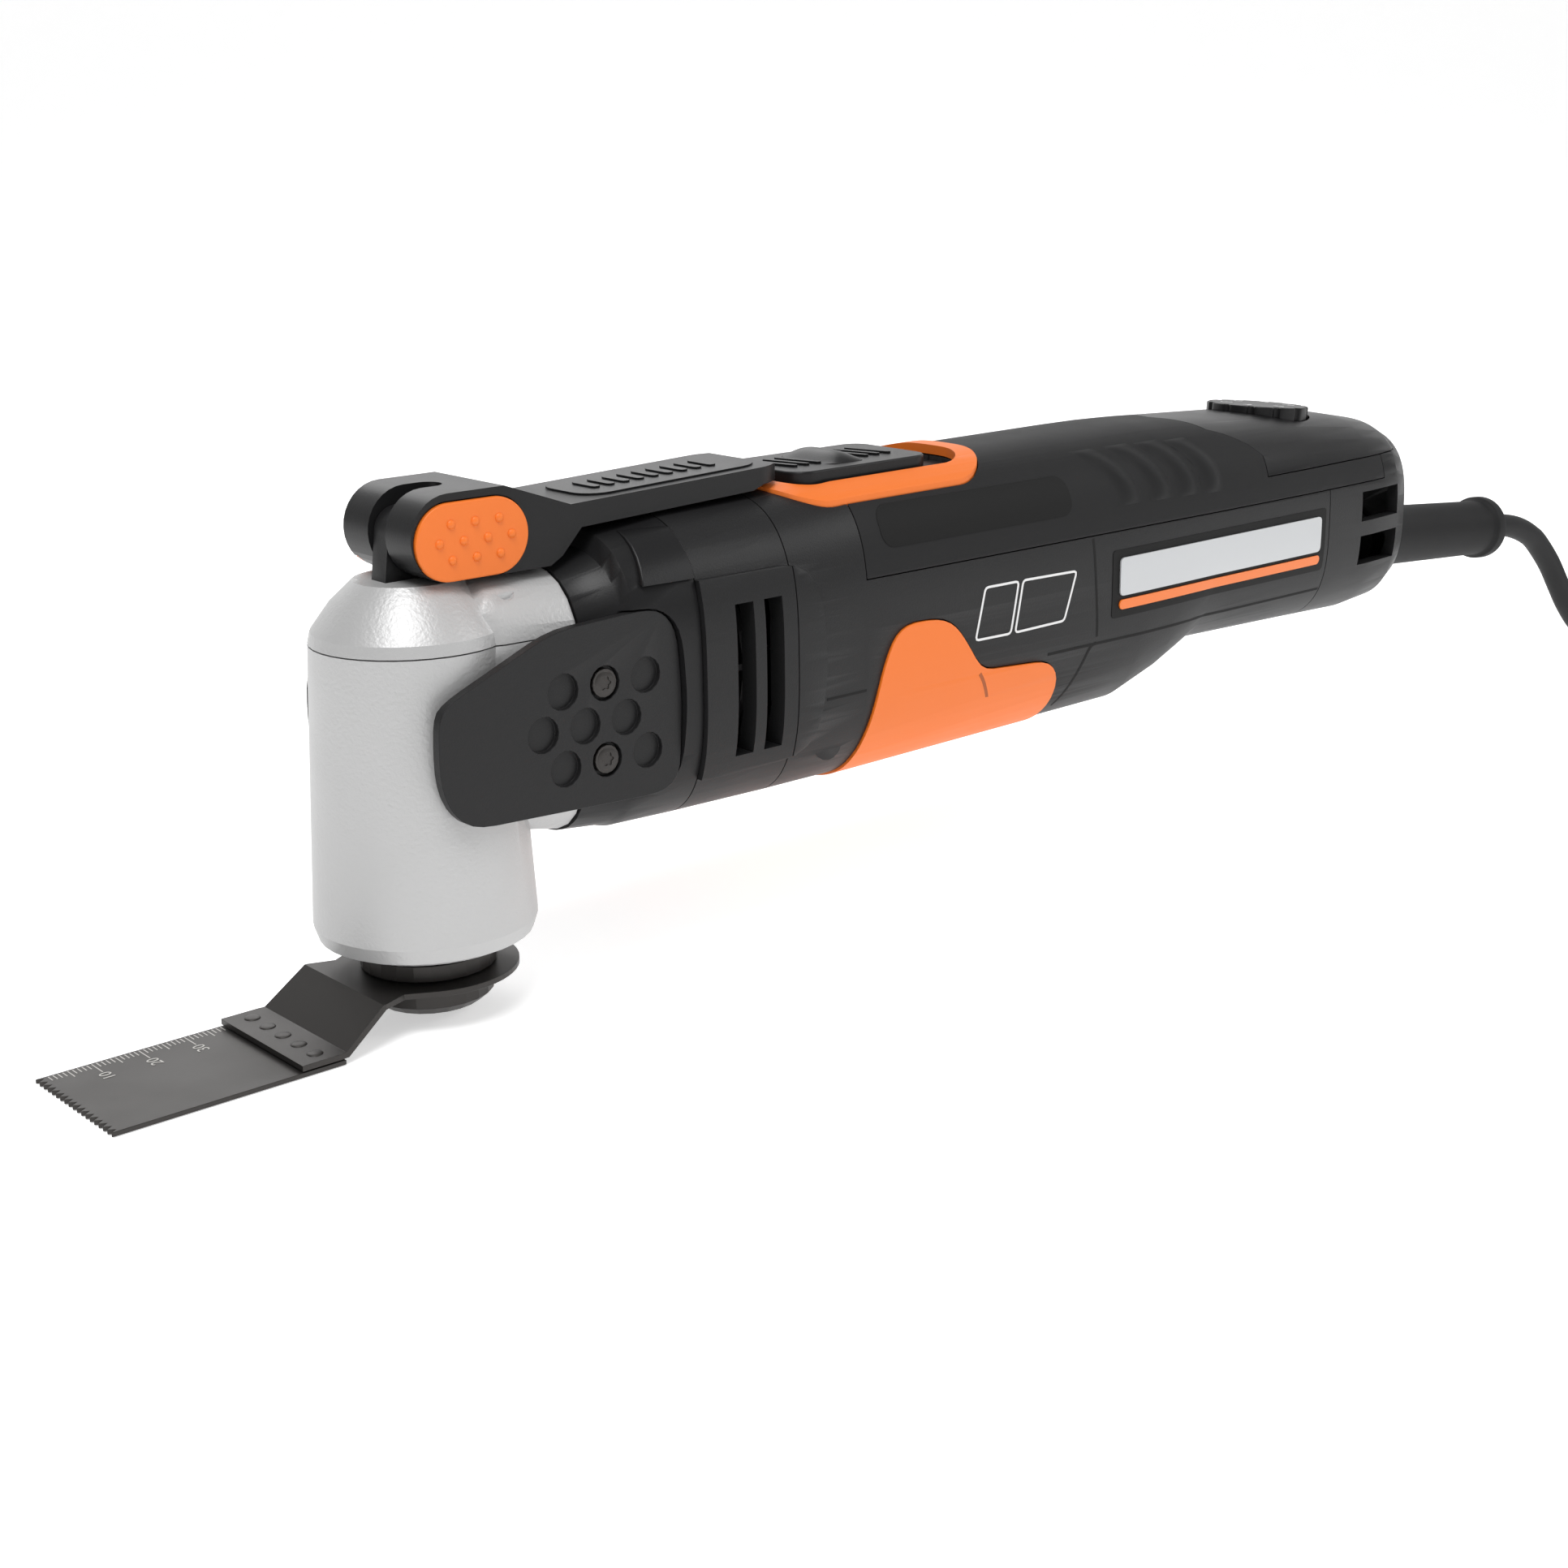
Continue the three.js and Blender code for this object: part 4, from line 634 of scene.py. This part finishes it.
x, y = rounded_grid((38.5, 86), (-9.6, 9.6), 6)
slab("lever_plate", place(on_arm(x, y, 0.4)), place(on_arm(x, y, -0.3)), "smooth_black", body="lever")
for k in range(9):
    x, y = rounded_grid((44 + 3.9 * k, 46 + 3.9 * k), (-4.2, 4.2), 0.9, 10, 8)
    slab(f"lever_rib_{k + 1}", place(on_arm(x, y, 0.8)), place(on_arm(x, y, 0.2)), "smooth_black", body="lever")


# %% [markdown]
# ## Trim on the body's sides
#
# A label, a printed mark or a parting line follows the body's curve. Each is a grid laid on the side surface:
# the section's curve is solved for the width at every height, and the two faces of the plate stand a little
# out of it and a little inside it.

# %% Side trim
def on_side(x, z, proud, side):
    """Points on one side of the body at each x and z, stood out by proud. The section is
    |y / half width|^3 + |(z - middle) / half height|^3 = 1."""
    half_width, middle, half = section(x)
    reach = np.clip(np.abs((z - middle) / half), 0, 0.999)
    y = half_width * (1 - reach ** ROUNDNESS) ** (1 / ROUNDNESS) + proud
    return np.stack([x, side * y, z + 0 * x], -1)


def side_plate(name, x_span, z_span, radius, proud, material, slot="black_plastic", sides=(-1, 1)):
    """A thin plate with round corners on the body's sides."""
    x, z = rounded_grid(x_span, z_span, radius)
    for side in sides:
        hand = "left" if side > 0 else "right"
        slab(f"{name}_{hand}", place(on_side(x, z, proud, side)), place(on_side(x, z, -0.3, side)), material,
             slot=slot)


def side_line(name, corners, width, material, proud=0.05, slot="black_plastic", soft=1.0, closed=False):
    """A line of even width through corners given as [x, z], eased at each corner, on both sides."""
    corners = np.asarray(corners, float)
    if closed:
        middle = (corners[0] + corners[1]) / 2
        corners = np.vstack([middle, corners[1:], corners[:1], middle])
    points = [corners[:1]]
    for before, corner, after in zip(corners[:-2], corners[1:-1], corners[2:]):
        enter = corner + (before - corner) * soft / max(np.linalg.norm(before - corner), 2 * soft)
        leave = corner + (after - corner) * soft / max(np.linalg.norm(after - corner), 2 * soft)
        t = np.linspace(0, 1, 6)[:, None]
        points.append((1 - t) ** 2 * enter + 2 * t * (1 - t) * corner + t ** 2 * leave)
    points = np.vstack(points + [corners[-1:]])
    along = np.concatenate([[0], np.cumsum(np.linalg.norm(np.diff(points, axis=0), axis=1))])
    even = np.linspace(0, along[-1], max(8, int(along[-1] / 0.6)))
    path = np.stack([np.interp(even, along, points[:, k]) for k in (0, 1)], -1)
    ahead = np.gradient(path, axis=0)
    ahead /= np.linalg.norm(ahead, axis=1)[:, None]
    across = np.stack([-ahead[:, 1], ahead[:, 0]], -1)
    offset = np.linspace(-0.5, 0.5, 3)[None, :, None] * width
    grid = path[:, None, :] + across[:, None, :] * offset
    for side in (-1, 1):
        hand = "left" if side > 0 else "right"
        outer, inner = (place(on_side(grid[..., 0], grid[..., 1], p, side)) for p in (proud, -0.3))
        slab(f"{name}_{hand}", outer, inner, material, slot=slot)


# %% Side trim: raised blocks
def outlined_side(name, z, x_start, x_end, proud, material, edge=0.5):
    """A raised plate on each side whose ends are given at every height, with bevelled edges."""
    z = np.asarray(z, float)
    u = np.linspace(0, 1, 14)
    x = np.asarray(x_start, float)[:, None] * (1 - u) + np.asarray(x_end, float)[:, None] * u
    z = np.repeat(z[:, None], 14, 1)
    for side in (-1, 1):
        hand = "left" if side > 0 else "right"
        made = slab(f"{name}_{hand}", place(on_side(x, z, proud, side)), place(on_side(x, z, -0.3, side)), material)
        bevel = made.modifiers.new("rounded", "BEVEL")
        bevel.limit_method = "ANGLE"
        bevel.angle_limit = math.radians(40)
        bevel.width = edge * MM
        bevel.segments = 2


# %% Side trim: every piece
z = np.array([86.6, 88, 90, 92, 94, 95.5, 96.4])
outlined_side("collar_block", z, 40.6 + 0.25 * (z - 86.6), 0 * z + 53.7, 1.2, "smooth_black")
side_plate("type_label", (107.5, 169.5), (85.4, 94.6), 3.6, 0.1, "dark_label", slot="black_plastic")
side_line("mark_front", [(138.2, 72.5), (149.3, 72.4), (146.8, 60.3), (135.1, 60.5)][::-1], 0.55, "white_print",
          0.08, slot=None, closed=True)
side_line("mark_rear", [(150.8, 72.4), (169.3, 72.0), (165.2, 60.5), (148.3, 60.3)][::-1], 0.55, "white_print",
          0.08, slot=None, closed=True)
side_plate("plate_frame", (182.3, 268.2), (58.2, 75.0), 1.0, 0.12, "dark_label", slot="black_plastic")
side_plate("plate_face", (184.8, 265.8), (63.6, 73.0), 1.2, 0.5, "plain_silver", slot=None)
side_plate("plate_stripe", (184.8, 265.8), (60.2, 62.6), 1.1, 0.5, "orange_gloss", slot="orange_plastic")
side_line("parting_upright", [(175.4, 78.9), (177.6, 54.6)], 0.7, "groove")
side_line("parting_low", [(160.4, 52.9), (178, 52.8), (230, 52.4), (269.5, 52.6)], 0.7, "groove")
side_line("parting_curve", [(177.5, 53), (175.5, 52.5), (172.5, 46), (168.8, 37.6)], 0.8, "groove", soft=3)
side_line("parting_front", [(89, 54.6), (101, 54.6)], 0.6, "groove")
side_line("pad_crease", [(136.8, 52.3), (138.5, 50), (141.5, 44), (143.3, 37)], 0.9, "orange_shadow", 0.56, soft=3,
          slot="orange_plastic")


# %% Finger ridges on the grip
def ridge(name, top, bottom, width, height):
    """A soft swelling across the grip's shoulder: its height is a raised cosine both along and across it."""
    t = np.linspace(0, 1, 24)
    bow = 3.0 * np.sin(np.pi * t)
    x0 = top[0] + (bottom[0] - top[0]) * t + bow
    z0 = top[1] + (bottom[1] - top[1]) * t
    u = np.linspace(-0.5, 0.5, 13)
    x = x0[:, None] + width * u
    z = np.repeat(z0[:, None], 13, 1)
    swell = height * np.cos(np.pi * u) ** 2 * np.sin(np.pi * np.clip(t, 0, 1))[:, None] ** 0.6
    for side in (-1, 1):
        hand = "left" if side > 0 else "right"
        slab(f"{name}_{hand}", place(on_side(x, z, swell, side)), place(on_side(x, z, -0.4, side)), "soft_black",
             slot="soft_black")


for k, (top, bottom) in enumerate([((181, 98.6), (190, 85.4)), ((193, 98.6), (201.5, 85.2)),
                                   ((204, 98.4), (211.5, 85.0)), ((214, 98.0), (220.5, 84.6))]):
    ridge(f"grip_ridge_{k + 1}", top, bottom, 8.5, 1.1)
print("side trim done")


# %% [markdown]
# ## Slider, dial numbers and blade marks
#
# The slider has a hump to push against and slanting ridges before and behind it. The dial carries numbers, and
# the blade carries a millimetre scale measured from its teeth. The numbers are text curves turned to meshes,
# then moved by a matrix so that their object stays at the origin.

# %% Slider
SLIDER_TOP_Z = 102.6
x, y = rounded_grid((106, 117), (-9.5, 9.5), 3, 24, 24)
u, v = (x - 111.5) / 5.5, y / 9.5
hump = 2.2 * np.clip(1 - u ** 2, 0, 1) ** 1.2 * np.clip(1 - np.abs(v) ** 4, 0, 1)
slab("slider_hump", place(np.stack([x, y, SLIDER_TOP_Z + hump], -1)),
     place(np.stack([x, y, 0 * x + SLIDER_TOP_Z - 0.4], -1)), "smooth_black", body="slide_switch")
for k, start in enumerate((96.5, 100, 103.5, 118, 121.5, 125)):
    x, y = rounded_grid((start, start + 1.3), (-6, 6), 0.6, 12, 6)
    x = x - 0.25 * y
    slab(f"slider_ridge_{k + 1}", place(np.stack([x, y, 0 * x + SLIDER_TOP_Z + 0.5], -1)),
         place(np.stack([x, y, 0 * x + SLIDER_TOP_Z - 0.3], -1)), "smooth_black", body="slide_switch")


# %% Numbers
def numeral(name, text, size, matrix, material, body="housing"):
    """A digit of that height in mm as a thin solid, laid by a matrix whose distances are metres."""
    curve = bpy.data.curves.new(name, "FONT")
    curve.body = text
    curve.size = size * MM * 1.4
    curve.align_x, curve.align_y = "CENTER", "CENTER"
    curve.extrude = 0.04 * MM
    curve.resolution_u = 3
    maker = bpy.data.objects.new(name + "_maker", curve)
    mesh = bpy.data.meshes.new_from_object(maker)
    bpy.data.objects.remove(maker)
    mesh.transform(matrix)
    mesh.materials.clear()
    mesh.materials.append(FINISHES[material])
    made = bpy.data.objects.new(name, mesh)
    bpy.context.scene.collection.objects.link(made)
    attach(made, body)
    return made


def turn_z(degrees):
    """A turn about Z by that many degrees."""
    return Matrix.Rotation(math.radians(degrees), 4, "Z")


DIAL_AT = Vector(place((270.0, 0.0, 100.0)))
dial_frame = Matrix.Translation(DIAL_AT) @ Matrix.Rotation(math.radians(5), 4, "Y")
for k in range(6):
    spot = turn_z(60 * k + 20) @ Matrix.Translation((8.6 * MM, 0, 0.06 * MM)) @ turn_z(90)
    numeral(f"dial_number_{k + 1}", str(k + 1), 3.4, dial_frame @ spot, "white_print", body="speed_dial")


# %% Blade marks
TIP_X = -78.6
FAR_EDGE = 16.5
ticks_top, ticks_low = [], []
for k in range(1, 40):
    length = 5.0 if k % 10 == 0 else 3.4 if k % 5 == 0 else 2.2
    x, y = np.meshgrid([TIP_X + k - 0.12, TIP_X + k + 0.12], [FAR_EDGE - 0.6 - length, FAR_EDGE - 0.6])
    ticks_top.append(np.stack([x, y, 0 * x + 1.03], -1))
    ticks_low.append(np.stack([x, y, 0 * x + 0.9], -1))
corners = np.concatenate([np.array(ticks_top).reshape(-1, 4, 3), np.array(ticks_low).reshape(-1, 4, 3)], 1)
cube = np.array([[0, 1, 3, 2], [4, 6, 7, 5], [0, 4, 5, 1], [1, 5, 7, 3], [3, 7, 6, 2], [2, 6, 4, 0]])
tick_faces = (cube[None] + 8 * np.arange(len(corners))[:, None, None]).reshape(-1, 4)
facing_out(piece("blade_ticks", place(corners.reshape(-1, 3)), tick_faces, "etched", body="spindle", slot=None))
for k in (1, 2, 3):
    spot = Matrix.Translation(Vector(place((TIP_X + 10 * k, 8.6, 1.03)))) @ turn_z(90)
    numeral(f"blade_number_{k}", str(10 * k), 2.6, spot, "etched", body="spindle")
weld_spots = [(-35.0, y, 2.5) for y in (-12.5, -6.25, 0, 6.25, 12.5)]
domes("weld_spots", weld_spots, (0, 0, 1), 1.7, 0.35, "dark_steel", body="spindle", slot="dark_steel")
print("numbers and marks done")


# %% [markdown]
# ## Floor and light
#
# The tool stands on a pale floor that bends up behind it and glows a little, so the camera sees no horizon.
# One soft lamp above and to the left is the main light. Two weaker ones, from the right and from behind, and a
# pale surround soften the shadows.

# %% Floor and light
def sweep(name, heading, flat, bend, height, width):
    """A floor that bends up into a wall behind the tool: flat for a way, then a quarter circle, then upright.
    Heading is the level direction in which the camera looks."""
    turn = np.linspace(0, np.pi / 2, 17)
    along = np.concatenate([[-flat, 0, flat], flat + bend * np.sin(turn[1:]), [flat + bend]])
    rise = np.concatenate([[0, 0, 0], bend - bend * np.cos(turn[1:]), [height]]) - 0.0002
    ahead = np.array([math.cos(heading), math.sin(heading)])
    across = np.array([ahead[1], -ahead[0]])
    w = np.linspace(-width, width, 9)
    level = along[:, None, None] * ahead + w[None, :, None] * across
    points = np.concatenate([level, np.repeat(rise[:, None, None], 9, 1)], -1)
    mesh = bpy.data.meshes.new(name)
    mesh.from_pydata(points.reshape(-1, 3).tolist(), [], grid_faces(len(along), 9).tolist())
    mesh.polygons.foreach_set("use_smooth", [True] * len(mesh.polygons))
    made = bpy.data.objects.new(name, mesh)
    bpy.context.scene.collection.objects.link(made)
    return made


pale = finish("pale_floor", (0.9, 0.9, 0.9), 0.95)
glow = pale.node_tree.nodes["Principled BSDF"]
glow.inputs["Emission Color"].default_value = (1, 1, 1, 1)
glow.inputs["Emission Strength"].default_value = 0.5
floor = sweep("floor", math.atan2(-CAMERA_BACK.y, -CAMERA_BACK.x), 2.2, 1.2, 4.0, 6.0)
floor.data.materials.append(pale)


def lamp(name, at, size, power):
    """A square soft lamp, aimed at the middle of the tool."""
    data = bpy.data.lights.new(name, "AREA")
    data.size = size
    data.energy = power
    made = bpy.data.objects.new(name, data)
    bpy.context.scene.collection.objects.link(made)
    made.location = at
    made.rotation_euler = (Vector((-0.05, 0, 0.05)) - Vector(at)).to_track_quat("-Z", "Y").to_euler()


lamp("key_lamp", (-0.5, -0.35, 1.2), 0.6, 12)
lamp("side_lamp", (0.75, -0.75, 0.75), 0.5, 3.5)
lamp("back_lamp", (0.3, 0.9, 0.9), 0.8, 4)
world = bpy.data.worlds.new("surround")
world.use_nodes = True
world.node_tree.nodes["Background"].inputs["Color"].default_value = (1, 1, 1, 1)
world.node_tree.nodes["Background"].inputs["Strength"].default_value = 0.34
bpy.context.scene.world = world
bpy.context.scene.view_settings.view_transform = "Standard"
print("lamps 3")
